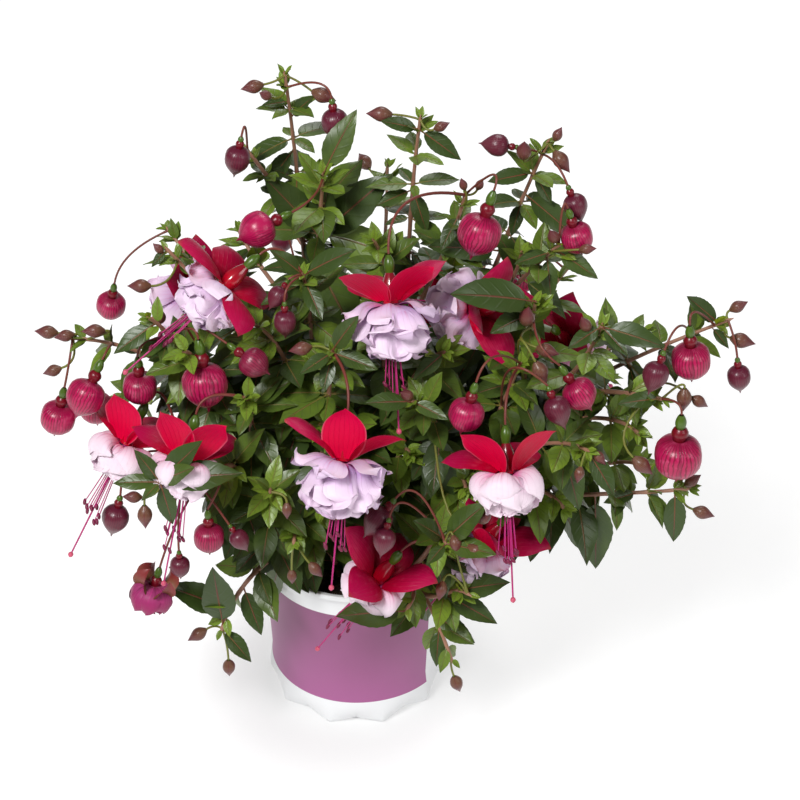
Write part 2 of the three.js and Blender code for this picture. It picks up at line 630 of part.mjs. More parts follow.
// Whether a piece is clear of the rest. It may come nearer to the one that it ends at.
function isClear(piece, ignores = () => false, endsAt = null) {
  return placed.every((other) => {
    if (ignores(other) || !boxesMeet(piece.box, other.box, GAP)) return true;
    const gap = other.id === endsAt ? GAP / 5 : GAP;
    const part = other.node === piece.node ? "free" : "whole";
    return piece[part].minGap(other[part], GAP) >= gap;
  });
}

const unite = (solids) => wasm.Manifold.union(solids);

// Where an item goes when it is slid along the line of sight, or away from the middle if it has no pixel
const SLIDES = [0, 5, -5, 10, -10, 16, -16, 23, -23, 31];

function slidTo(item, slide) {
  if (item.at.length === 2) return onMound(item.at, (item.deep ?? 0) + slide);
  const away = new THREE.Vector3(item.at[0], item.at[1], 0).normalize();
  return point(item.at).addScaledVector(away, -slide);
}

// The pot. Its foot is drawn in and raised at ten recesses.
function potGeometry() {
  const { rimRadius, lipDepth, lipOut, height, wall, floor, footRadius, waistRadius, waistHeight } = POT;
  const shoulder = rimRadius - lipOut;
  const profile = [
    [0, 0],
    [footRadius - 8, 0],
    [footRadius - 2.5, 0],
    [footRadius, 3.5],
    [footRadius, 9],
    [waistRadius, waistHeight],
    [shoulder, height - lipDepth],
    [rimRadius, height - lipDepth],
    [rimRadius, height],
    [shoulder - wall, height],
    [waistRadius - wall, waistHeight],
    [footRadius - 11, floor],
    [0, floor],
  ];
  const outline = profile.map(([radius, z]) => new THREE.Vector2(radius, z));
  const geometry = new THREE.LatheGeometry(outline, POT.segments).rotateX(Math.PI / 2);
  const vertices = geometry.attributes.position;
  for (let i = 0; i < vertices.count; i++) {
    const [x, y, z] = [vertices.getX(i), vertices.getY(i), vertices.getZ(i)];
    const radius = Math.hypot(x, y);
    if (radius < footRadius - 6 || z > 9.5) continue;
    const share = recessAt(Math.atan2(y, x));
    const shrink = (radius - POT.recess * share * (z < 5 ? 1 : 0.5)) / radius;
    vertices.setXYZ(i, x * shrink, y * shrink, z + POT.recessRise * share * Math.max(0, 1 - z / 7));
  }
  return geometry;
}

// How much of the full recess the foot has at an angle round it. One recess faces the viewer.
function recessAt(angle) {
  const spacing = 360 / POT.recesses;
  const off = Math.abs(((angle / DEGREE + 90 + 720 + spacing / 2) % spacing) - spacing / 2);
  return Math.max(0, 1 - off / POT.recessHalf) ** 0.8;
}

placed.push(pieceOf("pot", solidOf(potGeometry())));

// Where each shoot runs. Its stations go from the root to the tip, and all but those two are nodes, which
// leaves, stalks and further shoots leave.
function rootOf(tip) {
  const planDistance = Math.hypot(tip.x, tip.y);
  const radius = 12 + 0.13 * planDistance;
  const depth = POT.height - POT.soilBelowRim - SOIL.stemDepth;
  return new THREE.Vector3((tip.x / planDistance) * radius, (tip.y / planDistance) * radius, depth);
}

const pairDistance = (shoot, pair) => pairAt(pair) * (0.75 + 0.25 * shoot.leaf);

function pairAt(pair) {
  const last = PAIR_AT.length - 1;
  return pair <= last ? PAIR_AT[pair] : PAIR_AT[last] + 25 * (pair - last);
}

function shootCurve(shoot, from, tip, lean) {
  const end = point(shoot.end).normalize();
  const root = from ? from.p : rootOf(tip);
  const reach = tip.distanceTo(root);
  const leaving = from
    ? from.tangent.clone().lerp(tip.clone().sub(root).normalize(), lean)
    : new THREE.Vector3(tip.x, tip.y, 0).normalize().multiplyScalar(0.28).add(UP);
  return new THREE.CubicBezierCurve3(
    root,
    root.clone().addScaledVector(leaving.normalize(), from ? 0.3 * reach : Math.max(80, 0.45 * reach)),
    tip.clone().addScaledVector(end, -0.33 * reach),
    tip,
  );
}

function stationsOf(shoot, curve) {
  const length = curve.getLength();
  const clear = shoot.fork ? 15 : 30;
  const places = [{ distance: 0, k: -1 }];
  for (let k = 0; pairDistance(shoot, k) < length - clear; k++) {
    places.splice(1, 0, { distance: length - pairDistance(shoot, k), k });
  }
  places.push({ distance: length, k: -1 });
  const from = shoot.fork ? 0.8 * STEM.rootRadius : STEM.rootRadius;
  const stations = places.map(({ distance, k }) => ({
    k,
    p: curve.getPointAt(distance / length),
    radius: from + ((STEM.tipRadius - from) * distance) / length,
    faces: [],
  }));
  stations.forEach((station, i) => {
    const ahead = stations[Math.min(i + 1, stations.length - 1)].p;
    station.tangent = ahead.clone().sub(stations[Math.max(i - 1, 0)].p).normalize();
    station.bears = station.k >= 0 && station.k < shoot.pairs;
  });
  for (const { fork } of SHOOTS.filter(({ fork }) => fork?.[0] === shoot.id)) {
    for (const node of forkNodes({ stations, length }, fork[1])) node.bears = true;
  }
  const isKept = ({ bears }, i) => bears || i % 2 === 0 || i === stations.length - 1;
  return { length, stations: stations.filter(isKept) };
}

function shootRod({ stations }) {
  return rod(stations.map(({ p }) => p), stations.map(({ radius }) => radius), STEM.sides);
}

const nodesOf = (shoot) => shoot.stations.slice(1, -1).reverse();

// The two nodes of a shoot nearest to a share of its length
function forkNodes(shoot, share) {
  const root = shoot.stations[0].p;
  const lengths = [0];
  shoot.stations.slice(1).forEach(({ p }, i) => {
    lengths.push(lengths[i] + p.distanceTo(shoot.stations[i].p));
  });
  const off = (node) => Math.abs(lengths[shoot.stations.indexOf(node)] - share * shoot.length);
  return nodesOf(shoot).sort((m, n) => off(m) - off(n)).slice(0, 2);
}

// Adds a shoot to its leafy stem's mesh. A node that bears something has a ring below it and one above.
function growShoot(growth, shoot) {
  const rings = [];
  const nodes = [];
  let frame = null;
  shoot.stations.forEach((station, i) => {
    frame = across(station.tangent, frame ? frame[1] : UP);
    if (i === shoot.stations.length - 1) rings.push([station.p]);
    else if (station.bears) {
      for (const sign of [-1, 1]) {
        const centre = station.p.clone().addScaledVector(station.tangent, sign * STEM.node);
        rings.push(ring(centre, frame, station.radius, STEM.sides));
      }
      nodes.push({ station, upper: rings.length - 1 });
    } else if (i > 0 || !shoot.parent) rings.push(ring(station.p, frame, station.radius, STEM.sides));
  });
  const first = growth.points.length;
  if (shoot.parent) {
    const way = shoot.stations[1].p.clone().sub(shoot.from.p).normalize();
    if (!graftAt(growth, shoot.from, way, rings)) return false;
  } else {
    let below = null;
    for (const above of rings) {
      const numbers = above.map((_, i) => growth.points.length + i);
      growth.points.push(...above);
      growth.faces.push(...(below ? between(below, numbers) : [[numbers[0], numbers[2], numbers[1]]]));
      below = numbers;
    }
  }
  for (const { station, upper } of nodes) {
    const numbers = [upper - 1, upper].flatMap((n) => [0, 1, 2].map((j) => first + 3 * n + j));
    station.faces = growth.faces.filter((face) => face.every((n) => numbers.includes(n)));
  }
  return true;
}

const shoots = new Map();
const growths = new Map();

// Tries a shoot on each of two nodes, leaning more and more from its parent, until it is clear.
function settle(shoot) {
  const froms = shoot.parent ? forkNodes(shoot.parent, shoot.fork[1]) : [null];
  for (const slide of SLIDES) {
    for (const lean of shoot.parent ? [0.5, 0.75, 1] : [0]) {
      for (const from of froms) {
        shoot.from = from;
        Object.assign(shoot, stationsOf(shoot, shootCurve(shoot, from, slidTo(shoot, slide), lean)));
        const piece = pieceOf(shoot.node, solidOf(shootRod(shoot)), shoot.id);
        if (!isClear(piece, (other) => other.node === shoot.node)) continue;
        if (!growShoot(growths.get(shoot.node), shoot)) continue;
        placed.push(piece);
        return true;
      }
    }
  }
  return false;
}

for (const facts of SHOOTS) {
  const parent = facts.fork && shoots.get(facts.fork[0]);
  const node = `leafy_stem_${String(facts.stem).padStart(2, "0")}`;
  const shoot = { ...facts, index: shoots.size, parent, node };
  shoots.set(shoot.id, shoot);
  if (!growths.has(node)) growths.set(node, newGrowth());
  settle(shoot);
}

// The dense middle of the bush: a slim core round the lower part of each long shoot, from which its
// leaves stand out. It is as thick as leaves its neighbours clear.
function coreRod(shoot, radius) {
  const to = Math.min(CORE.to, 0.62 * shoot.length);
  const share = (part) => alongShoot(shoot, CORE.from + (to - CORE.from) * part);
  return rod([0, 0.25, 0.55, 0.8, 1].map(share), [0, 0.8 * radius, radius, 0.65 * radius, 0], CORE.sides);
}

// The point of a shoot at a distance from its root
function alongShoot({ stations }, distance) {
  let rest = distance;
  for (let i = 1; i < stations.length; i++) {
    const piece = stations[i].p.distanceTo(stations[i - 1].p);
    if (rest <= piece) return stations[i - 1].p.clone().lerp(stations[i].p, rest / piece);
    rest -= piece;
  }
  return stations.at(-1).p;
}

for (const shoot of [...shoots.values()].filter(({ id }) => CORE.shoots.includes(id))) {
  for (const radius of CORE.radii) {
    const piece = pieceOf(shoot.node, solidOf(coreRod(shoot, radius)), `core of ${shoot.id}`);
    if (!isClear(piece, (other) => other.node === shoot.node)) continue;
    placed.push(piece);
    shoot.core = piece.whole;
    break;
  }
}

// Flowers
function axesOf(item) {
  const axis = point(item.way).normalize();
  const front = outward(across(axis), (item.turn ?? 0) * DEGREE);
  return { axis, frame: [front, axis.clone().cross(front)] };
}

// A petal or sepal: its centreline bends from one angle to another, both above square to the axis.
function petal(origin, { axis, frame }, { turn, start, bend, length, halves, keel }) {
  const out = outward(frame, turn);
  const side = axis.clone().cross(out);
  const centre = origin.clone().addScaledVector(out, start[0]).addScaledVector(axis, start[1]);
  const base = centre.clone();
  const pieces = halves.length + 1;
  const stations = [...halves, 0].map((half, i) => {
    const angle = (bend[0] + ((bend[1] - bend[0]) * (i + 1)) / pieces) * DEGREE;
    const way = out.clone().multiplyScalar(Math.cos(angle)).addScaledVector(axis, -Math.sin(angle));
    centre.addScaledVector(way, length / pieces);
    return { centre: centre.clone(), half, side, normal: side.clone().cross(way).normalize() };
  });
  const tip = stations.pop().centre;
  return blade(base, stations, tip, keel, -0.05);
}

function sepal(origin, axes, turn, lift) {
  const half = BLOOM.sepalWidth / 2;
  const bend = [Math.min(lift + 37, 90), lift - 18];
  const facts = { turn, start: [3.2, -1.5], bend, length: BLOOM.sepal, keel: 0.8 };
  return petal(origin, axes, { ...facts, halves: [half * 0.85, half] });
}

function corollaPetal(origin, axes, turn) {
  const half = BLOOM.petalWidth / 2;
  const facts = { turn, start: [3.7, 1.6], bend: [15, -90], length: BLOOM.petal, keel: 0.9 };
  return petal(origin, axes, { ...facts, halves: [half * 0.6, half * 0.98] });
}

// A thread from inside the tube to a distance along the axis, with or without a knob at its end
function thread(origin, { axis, frame }, { turn, reach, spread, radius, knob }) {
  const out = outward(frame, turn * DEGREE);
  const placeAt = (distance, away) =>
    origin.clone().addScaledVector(axis, distance).addScaledVector(out, away);
  const end = placeAt(reach, spread);
  const way = end.clone().sub(placeAt(0, 0.8)).normalize();
  const back = (distance) => end.clone().addScaledVector(way, -distance);
  if (!knob) return rod([placeAt(-3, 0.8), back(1), end], [radius, radius, 0], 3);
  return rod([placeAt(-3, 0.8), back(3), back(1.3), end], [radius, radius, knob, 0], 3);
}

function calyxPieces(bloom, origin) {
  const axes = axesOf(bloom);
  const top = -(BLOOM.tube + BLOOM.ovary);
  const { ovaryRadius, tubeRadius, tube } = BLOOM;
  const profile = [
    [top, 1.2],
    [top + 4, ovaryRadius],
    [-tube, 2.1],
    [-tube * 0.45, tubeRadius],
    [0, tubeRadius * 0.75],
  ];
  const threads = [
    { turn: 60, reach: BLOOM.pistil, spread: 1.5, radius: 0.8, knob: 1.7 },
    { turn: 200, reach: BLOOM.stamen, spread: 5, radius: 0.7 },
    { turn: 320, reach: BLOOM.stamen * 1.1, spread: 5, radius: 0.7 },
  ];
  return [
    turned(origin, axes.axis, profile, 5),
    ...bloom.sepals.map(([turn, lift]) => sepal(origin, axes, turn * DEGREE, lift)),
    ...threads.map((facts) => thread(origin, axes, facts)),
  ];
}

// The ring at the corolla's root, which its petals leave. The stamens pass through it.
function collar(origin, { axis, frame }) {
  const sides = 6;
  const corners = [[2.9, GAP], [5.1, GAP], [5.1, 3.2], [2.9, 3.2]];
  const rings = corners.map(([radius, distance]) =>
    ring(origin.clone().addScaledVector(axis, distance), frame, radius, sides),
  );
  const positions = rings.flat().flatMap((p) => [p.x, p.y, p.z]);
  const faces = [];
  for (let i = 0; i < 4; i++) {
    for (let j = 0; j < sides; j++) {
      const [a, b] = [i * sides + j, i * sides + ((j + 1) % sides)];
      const [c, d] = [((i + 1) % 4) * sides + j, ((i + 1) % 4) * sides + ((j + 1) % sides)];
      faces.push(a, c, b, b, c, d);
    }
  }
  return geometryOf(positions, faces);
}

function corollaPieces(bloom, origin) {
  const axes = axesOf(bloom);
  const pieces = [collar(origin, axes)];
  for (let i = 0; i < 5; i++) pieces.push(corollaPetal(origin, axes, (72 * i + 30) * DEGREE));
  return pieces;
}

BLOOMS.forEach((bloom, i) => {
  const name = `bloom_${String(i + 1).padStart(2, "0")}`;
  bloom.id = name;
  for (const slide of SLIDES) {
    const origin = slidTo(bloom, slide);
    const calyx = pieceOf(`${name}_calyx`, unite(calyxPieces(bloom, origin).map(solidOf)), name);
    const corolla = pieceOf(`${name}_corolla`, unite(corollaPieces(bloom, origin).map(solidOf)), name);
    if (!isClear(calyx) || !isClear(corolla)) continue;
    placed.push(calyx, corolla);
    const neck = BLOOM.tube + BLOOM.ovary + 1.5 * GAP;
    bloom.top = origin.clone().addScaledVector(axesOf(bloom).axis, -neck);
    break;
  }
});

// A bud's profile along its axis from the middle of the bulb. Small ones are long and have no tube.
function budProfile({ size }) {
  if (size < 11) {
    const half = 0.85 * size;
    return [[-half, 0.17 * size], [0, 0.52 * size], [half, 0]];
  }
  if (size < LOOSE_BUD) {
    const half = 0.56 * size;
    return [
      [-half - 0.5 * size, 0.8],
      [-half - 0.2 * size, 0.18 * size],
      [-half, 0.15 * size],
      [-half * 0.3, 0.49 * size],
      [half * 0.5, 0.41 * size],
      [half * 1.2, 0],
    ];
  }
  const half = 0.46 * size;
  return [
    [-half - 0.62 * size, 0.8],
    [-half - 0.42 * size, 0.1 * size],
    [-half - 0.2 * size, 0.18 * size],
    [-half, 0.13 * size],
    [-half * 0.6, 0.41 * size],
    [0, 0.5 * size],
    [half * 0.6, 0.39 * size],
    [half * 1.2, 0],
  ];
}

function stalkCurve(start, end, way, bow) {
  const reach = start.distanceTo(end);
  const control = end
    .clone()
    .addScaledVector(way, -0.55 * reach)
    .addScaledVector(across(way)[0], bow * reach);
  return new THREE.QuadraticBezierCurve3(start, control, end);
}

// Grows a stalk to an item from its shoot, clear of all else. It starts at a node and ends at the place
// given, where `profile` goes on along the item's own way.
function growStalk(item, end, profile) {
  const shoot = shoots.get(item.on);
  const way = point(item.way).normalize();
  const pieces = item.size < 11 ? 2 : PEDICEL.pieces;
  const nodes = nodesOf(shoot)
    .filter((node) => node.bears)
    .sort((m, n) => m.p.distanceTo(end) - n.p.distanceTo(end));
  const own = [shoot.id, item.id, `core of ${shoot.id}`];
  const isOwn = (other) => other.node === shoot.node && own.includes(other.id);
  for (const bow of [0, 0.3, -0.3, 0.6, -0.6, 1, -1]) {
    for (const node of nodes) {
      const curve = stalkCurve(node.p, end, way, bow);
      const points = [];
      for (let i = 1; i <= pieces; i++) points.push(curve.getPoint(i / pieces));
      const radii = points.map(() => PEDICEL.radius);
      for (const [distance, radius] of profile) {
        if (distance === 0) radii[radii.length - 1] = radius;
        else points.push(end.clone().addScaledVector(way, distance));
        if (distance !== 0) radii.push(radius);
      }
      const from = (start, radius) => solidOf(rod([start, ...points], [radius, ...radii], 3));
      const free = from(curve.getPoint(0.5 / pieces), PEDICEL.radius);
      const piece = pieceOf(shoot.node, from(node.p, node.radius), `stalk of ${item.id}`, free);
      if (!isClear(piece, isOwn, item.id)) continue;
      const rings = stalkRings(node, points, radii, profile.length ? item.size : 0);
      if (!graftAt(growths.get(shoot.node), node, curve.getTangent(0), rings)) continue;
      placed.push(piece);
      return true;
    }
  }
  return false;
}

// A stalk's rings: three sides, and six round the bulb of a bud that is not of the smallest.
function stalkRings(node, points, radii, size) {
  const wide = size >= 9 ? points.length - (size < 11 ? 2 : 3) : points.length;
  let frame = null;
  return points.map((p, i) => {
    const behind = i ? points[i - 1] : node.p;
    const ahead = points[i + 1] ?? p;
    frame = across(ahead.clone().sub(behind).normalize(), frame ? frame[1] : UP);
    return radii[i] > 0 ? ring(p, frame, radii[i], i >= wide ? 6 : 3) : [p];
  });
}

for (const bloom of BLOOMS) growStalk(bloom, bloom.top, []);

let looseBuds = 0;
BUDS.forEach((bud, i) => {
  bud.id = `bud ${i}`;
  const way = point(bud.way).normalize();
  const profile = budProfile(bud);
  const neck = -profile[0][0];
  const loose = bud.size >= LOOSE_BUD;
  const node = loose ? `bud_${String(++looseBuds).padStart(2, "0")}` : shoots.get(bud.on).node;
  for (const slide of SLIDES) {
    const middle = slidTo(bud, slide);
    const piece = pieceOf(node, solidOf(turned(middle, way, profile, 5)), bud.id);
    if (!isClear(piece)) continue;
    placed.push(piece);
    const end = middle.clone().addScaledVector(way, -neck - (loose ? 1.5 * GAP : 0));
    const rest = loose ? [] : profile.map(([distance, radius]) => [distance + neck, radius]);
    if (growStalk(bud, end, rest)) return;
    placed.pop();
  }
});

// How a leaf bends another way where it is not clear of its neighbours
const TRIES = [
  { yaw: 0, droop: 0, scale: 1 },
  { yaw: 16, droop: 0, scale: 1 },
  { yaw: -16, droop: 0, scale: 1 },
  { yaw: 0, droop: 0.3, scale: 1 },
  { yaw: 0, droop: -0.3, scale: 1 },
  { yaw: 32, droop: 0.15, scale: 0.95 },
  { yaw: -32, droop: 0.15, scale: 0.95 },
  { yaw: 24, droop: -0.35, scale: 0.9 },
  { yaw: -24, droop: -0.35, scale: 0.9 },
  { yaw: 12, droop: 0.6, scale: 0.85 },
  { yaw: -12, droop: 0.6, scale: 0.85 },
  { yaw: 45, droop: 0.4, scale: 0.8 },
  { yaw: -45, droop: 0.4, scale: 0.8 },
  { yaw: 0, droop: -0.7, scale: 0.8 },
  { yaw: 0, droop: 0.15, scale: 0.62 },
  { yaw: 25, droop: -0.15, scale: 0.62 },
  { yaw: -25, droop: 0.3, scale: 0.62 },
];

function leafPlan(shoot, { k: pair, p, tangent }, hand, attempt) {
  const { yaw, droop, scale } = TRIES[attempt];
  const chance = (k) => draw(shoot.index + 1, pair * 2 + (hand > 0 ? 2 : 1), k);
  const angle = (shoot.turn + 90 * pair + yaw + 22 * (chance(1) - 0.5)) * DEGREE;
  const radial = outward(across(tangent), angle).multiplyScalar(hand);
  const row = Math.min(pair, PAIR_AT.length - 1);
  const rise = (PAIR_RISE[row] + 14 * (chance(2) - 0.5)) * DEGREE;
  const way = radial.multiplyScalar(Math.cos(rise)).addScaledVector(tangent, Math.sin(rise));
  way.z -= PAIR_DROOP[row] * (0.7 + 0.6 * chance(3)) + droop;
  way.normalize();
  const light = tangent.clone().multiplyScalar(0.5).addScaledVector(UP, 0.8);
  light.y -= 0.15;
  const normal = light.addScaledVector(way, -light.dot(way)).normalize();
  const length = PAIR_LENGTH[row] * shoot.leaf * scale * (0.88 + 0.24 * chance(4));
  const arch = 0.1 + 0.22 * chance(5);
  return { pair, p, way, normal, side: way.clone().cross(normal), length, arch };
}

// A point of the leaf's midrib at share s of its length, and the normal there.
function onLeaf(leaf, s) {
  const centre = leaf.p.clone().addScaledVector(leaf.way, leaf.length * s);
  centre.addScaledVector(leaf.normal, -leaf.arch * leaf.length * s * s);
  const normal = leaf.normal.clone().addScaledVector(leaf.way, 2 * leaf.arch * s).normalize();
  return { centre, normal };
}

function leafStations(leaf, shares) {
  const half = (leaf.length * LEAF.width) / 2;
  return shares.map((s) => ({ ...onLeaf(leaf, s), side: leaf.side, half: half * leafHalfWidth(s) }));
}

const leafShares = ({ length, pair }) => (length > 31 && pair < 4 ? [0.27, 0.6] : [0.42]);

function leafRings(leaf) {
  const stations = leafStations(leaf, leafShares(leaf));
  const rings = stations.map((station) => bladeRing(station, LEAF.keel, LEAF.fold));
  return [...rings, [onLeaf(leaf, 1).centre]];
}

// A leaf as a solid of its own, from its shoot's middle, and from where it is free of that shoot
function leafPiece(leaf, shoot, radius) {
  const rings = leafRings(leaf);
  const { p, side, normal } = leaf;
  const foot = bladeRing({ centre: p, half: 1.1 * radius, side, normal }, -radius, 0.3);
  const free = solidOf(skin([[onLeaf(leaf, 0.12).centre], ...rings]));
  return pieceOf(shoot.node, solidOf(skin([foot, ...rings])), `leaf of ${shoot.id}`, free);
}

for (let pair = 0; pair < 12; pair++) {
  for (const shoot of shoots.values()) {
    const station = shoot.stations.find(({ k }) => k === pair);
    if (!station || pair >= shoot.pairs) continue;
    const isOwn = ({ node, id }) => node === shoot.node && (id === shoot.id || id.startsWith("core"));
    for (const hand of [1, -1]) {
      TRIES.some((_, i) => {
        const leaf = leafPlan(shoot, station, hand, i);
        const piece = leafPiece(leaf, shoot, station.radius);
        if (!isClear(piece, isOwn)) return false;
        if (!graftAt(growths.get(shoot.node), station, leaf.way, leafRings(leaf))) return false;
        placed.push(piece);
        return true;
      });
    }
  }
}

// The soil, with a plain hole round each stem
function soilGeometry() {
  const top = POT.height - POT.soilBelowRim;
  const profile = [
    [0, POT.floor + GAP],
    [POT.footRadius - 13, POT.floor + GAP],
    [POT.waistRadius - POT.wall - 1.2, POT.waistHeight],
    [POT.rimRadius - POT.lipOut - POT.wall - 1.6, top],
    [0, top + SOIL.mound],
  ];
  const outline = profile.map(([radius, z]) => new THREE.Vector2(radius, z));
  return new THREE.LatheGeometry(outline, SOIL.segments).rotateX(Math.PI / 2);
}

function stemHole(shoot) {
  const [bottom, next] = shoot.stations.map(({ p }) => p);
  const way = next.clone().sub(bottom).normalize();
  const radius = STEM.rootRadius + 2 * SOIL.stemClearance;
  const points = [-GAP, 40].map((distance) => bottom.clone().addScaledVector(way, distance));
  return solidOf(rod(points, [radius, radius], STEM.sides));
}

let soil = solidOf(soilGeometry());
for (const shoot of shoots.values()) {
  if (!shoot.parent) soil = soil.subtract(stemHole(shoot));
}
placed.push(pieceOf("soil", soil));

const MATERIALS = {
  pot: new THREE.MeshStandardMaterial({ color: 0xf2f2f0, roughness: 0.35, metalness: 0 }),
  soil: new THREE.MeshStandardMaterial({ color: 0x2b211a, roughness: 0.95, metalness: 0 }),
  stem: new THREE.MeshStandardMaterial({ color: 0x2f5a26, roughness: 0.5, metalness: 0 }),
  calyx: new THREE.MeshStandardMaterial({ color: 0xd00b35, roughness: 0.4, metalness: 0 }),
  corolla: new THREE.MeshStandardMaterial({ color: 0xd9b9dc, roughness: 0.6, metalness: 0 }),
  bud: new THREE.MeshStandardMaterial({ color: 0xa81f48, roughness: 0.4, metalness: 0 }),
};

function materialOf(node) {
  if (node.startsWith("leafy_stem")) return MATERIALS.stem;
  if (node.endsWith("_calyx")) return MATERIALS.calyx;
  if (node.endsWith("_corolla")) return MATERIALS.corolla;
  return node.startsWith("bud") ? MATERIALS.bud : MATERIALS[node];
}

// The largest body of a solid: what fusing leaves loose is dropped.
function largest(solid) {
  return solid.decompose().sort((p, q) => q.volume() - p.volume())[0];
}

function meshOf(node, solid) {
  const { vertProperties, triVerts } = solid.getMesh();
  const geometry = new THREE.BufferGeometry();
  geometry.setAttribute("position", new THREE.BufferAttribute(vertProperties, 3));
  geometry.setIndex(new THREE.BufferAttribute(triVerts, 1));
  geometry.computeVertexNormals();
  const mesh = new THREE.Mesh(geometry, materialOf(node));
  mesh.name = node;
  return mesh;
}

// A leafy stem's whole solid: what has grown, and the core of its first shoot
function leafySolid(node, growth) {
  const grown = solidOf(geometryOf(growth.points.flatMap((p) => [p.x, p.y, p.z]), growth.faces.flat()));
  const cored = [...shoots.values()].filter((shoot) => shoot.node === node && shoot.core);
  return unite([grown, ...cored.map(({ core }) => core)]);
}

const plant = new THREE.Group();
for (const node of new Set(placed.map((piece) => piece.node))) {
  const growth = growths.get(node);
  const first = placed.find((piece) => piece.node === node);
  const solid = growth ? leafySolid(node, growth) : first.whole;
  plant.add(meshOf(node, largest(solid)));
}

export default plant;
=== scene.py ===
"""A potted fuchsia with double flowers, dressed for rendering.

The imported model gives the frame. Every leaf, flower and bud of it is made again in finer form, from the
same named facts: lengths are in millimetres until a mesh is made, and then in metres.
"""

import functools
import math
from collections import namedtuple

import bpy
import numpy as np
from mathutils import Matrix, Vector, kdtree


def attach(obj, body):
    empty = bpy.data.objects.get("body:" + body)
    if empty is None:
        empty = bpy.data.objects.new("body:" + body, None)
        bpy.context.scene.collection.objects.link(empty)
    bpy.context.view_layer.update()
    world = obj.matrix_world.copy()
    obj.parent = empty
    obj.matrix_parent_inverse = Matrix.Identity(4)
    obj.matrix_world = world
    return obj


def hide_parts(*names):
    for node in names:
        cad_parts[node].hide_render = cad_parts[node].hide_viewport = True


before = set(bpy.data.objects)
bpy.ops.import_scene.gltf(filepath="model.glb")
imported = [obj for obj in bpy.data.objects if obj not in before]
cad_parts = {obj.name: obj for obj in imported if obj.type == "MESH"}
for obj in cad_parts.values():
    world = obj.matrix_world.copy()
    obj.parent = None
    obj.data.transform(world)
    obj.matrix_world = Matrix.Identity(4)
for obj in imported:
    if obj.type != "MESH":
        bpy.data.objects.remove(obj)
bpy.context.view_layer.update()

UP = Vector((0, 0, 1))
DEGREE = math.pi / 180
TURN = 2 * math.pi
GAP = 0.3  # between solids
CLOSE = 0.02  # a corner of a solid is met when it is as near as this

POT_HEIGHT = 112
RIM_RADIUS = 60
SOIL_TOP = 103
SOIL_MOUND = 3
STEM_DEPTH = 16
STEM_TIP_RADIUS = 1.1
STEM_ROOT_RADIUS = 2.8
STEM_NODE = 1.1
PEDICEL_RADIUS = 0.75
ROD_SIDES = 3  # of the solid stems and stalks
LEAF_WIDTH = 0.47
LEAF_PETIOLE = 0.12
LARGE_LEAF = 24
# The pairs of leaves from a shoot's tip down: the distance from the tip, the leaves' length, how many
# degrees they rise above square to the stem, and how much they droop
PAIR_AT = [4, 13, 29, 50, 74, 99, 124, 149]
PAIR_LENGTH = [10, 18, 30, 40, 46, 48, 46, 42]
PAIR_RISE = [62, 48, 34, 22, 14, 8, 4, 0]
PAIR_DROOP = [0, 0.05, 0.15, 0.28, 0.38, 0.42, 0.46, 0.5]
OVARY = 10
TUBE = 17
SEPAL = 38
SEPAL_WIDTH = 25
PETAL_WIDTH = 25
PISTIL = 74
STAMEN = 47
STAMENS = 8
SMALL_BUD = 11  # buds smaller than this have no tube
LOOSE_BUD = 17  # buds of this size or more are nodes of their own
LOOSE_NECK = 0.62  # from such a bud's top to its stalk, as a share of its size

# The photograph's view, in pixels and millimetres
FOCAL = 2490
CENTRE = 400
ELEVATION = 37 * DEGREE
SIN, COS = math.sin(ELEVATION), math.cos(ELEVATION)
DISTANCE = 1500
ACROSS = 28
HIGH = 218
VIEWER = Vector((0, -COS, SIN))
CAMERA_AT = Vector((ACROSS, 0, HIGH)) + VIEWER * DISTANCE
# The plant's mound, which bulges towards the viewer by so much in these rows of pixels
MOUND_ROWS = [60, 150, 250, 350, 450, 550, 690]
MOUND_BULGE = [-70, -30, 20, 70, 108, 118, 104]
MOUND_MIDDLE = 395
MOUND_HALF_WIDTH = 385

# What the solids may have been moved by to keep clear: inwards, in a stalk's bow, in a side shoot's lean
SLIDES = [0, 5, -5, 10, -10, 16, -16, 23, -23, 31]
BOWS = [0, 0.3, -0.3, 0.6, -0.6, 1, -1]
LEANS = [0.5, 0.75, 1]

# The flowers whose petals are lilac and ruffled; those of the others are pinkish white and rounder
LILAC = {1, 2, 3, 4, 7, 10, 12}
# Flowers that stand partly behind leaves
BEHIND_LEAVES = {3, 7, 10, 11, 12}
# Layers of petals: how many, their length and share of the full width, their distance from the axis, the
# turn of the first, the angles of the middle line from foot to tip, the folds' depth, and the cupping
RUFFLED = [
    (5, 26, 1.0, 3.7, 30, (28, 5, -45, 5), 3.2, 0.25),
    (6, 28, 0.95, 3.4, 5, (15, -25, -70, -25), 3.2, 0.3),
    (6, 32, 0.9, 2.8, 32, (0, -50, -85, -60), 3.0, 0.3),
    (5, 32, 0.8, 2.0, 12, (-30, -70, -90, -75), 2.8, 0.3),
]
ROUND = [
    (5, 31, 0.98, 3.7, 30, (40, 5, -66, -135), 1.2, 0.6),
    (5, 28, 0.95, 3.2, 66, (24, -15, -80, -125), 1.2, 0.5),
    (5, 24, 0.85, 2.4, 40, (-5, -50, -88, -110), 1.6, 0.35),
    (4, 21, 0.75, 1.8, 10, (-40, -72, -90, -100), 1.6, 0.3),
]
SPENT = 41  # the place in BUDS of a flower that fades

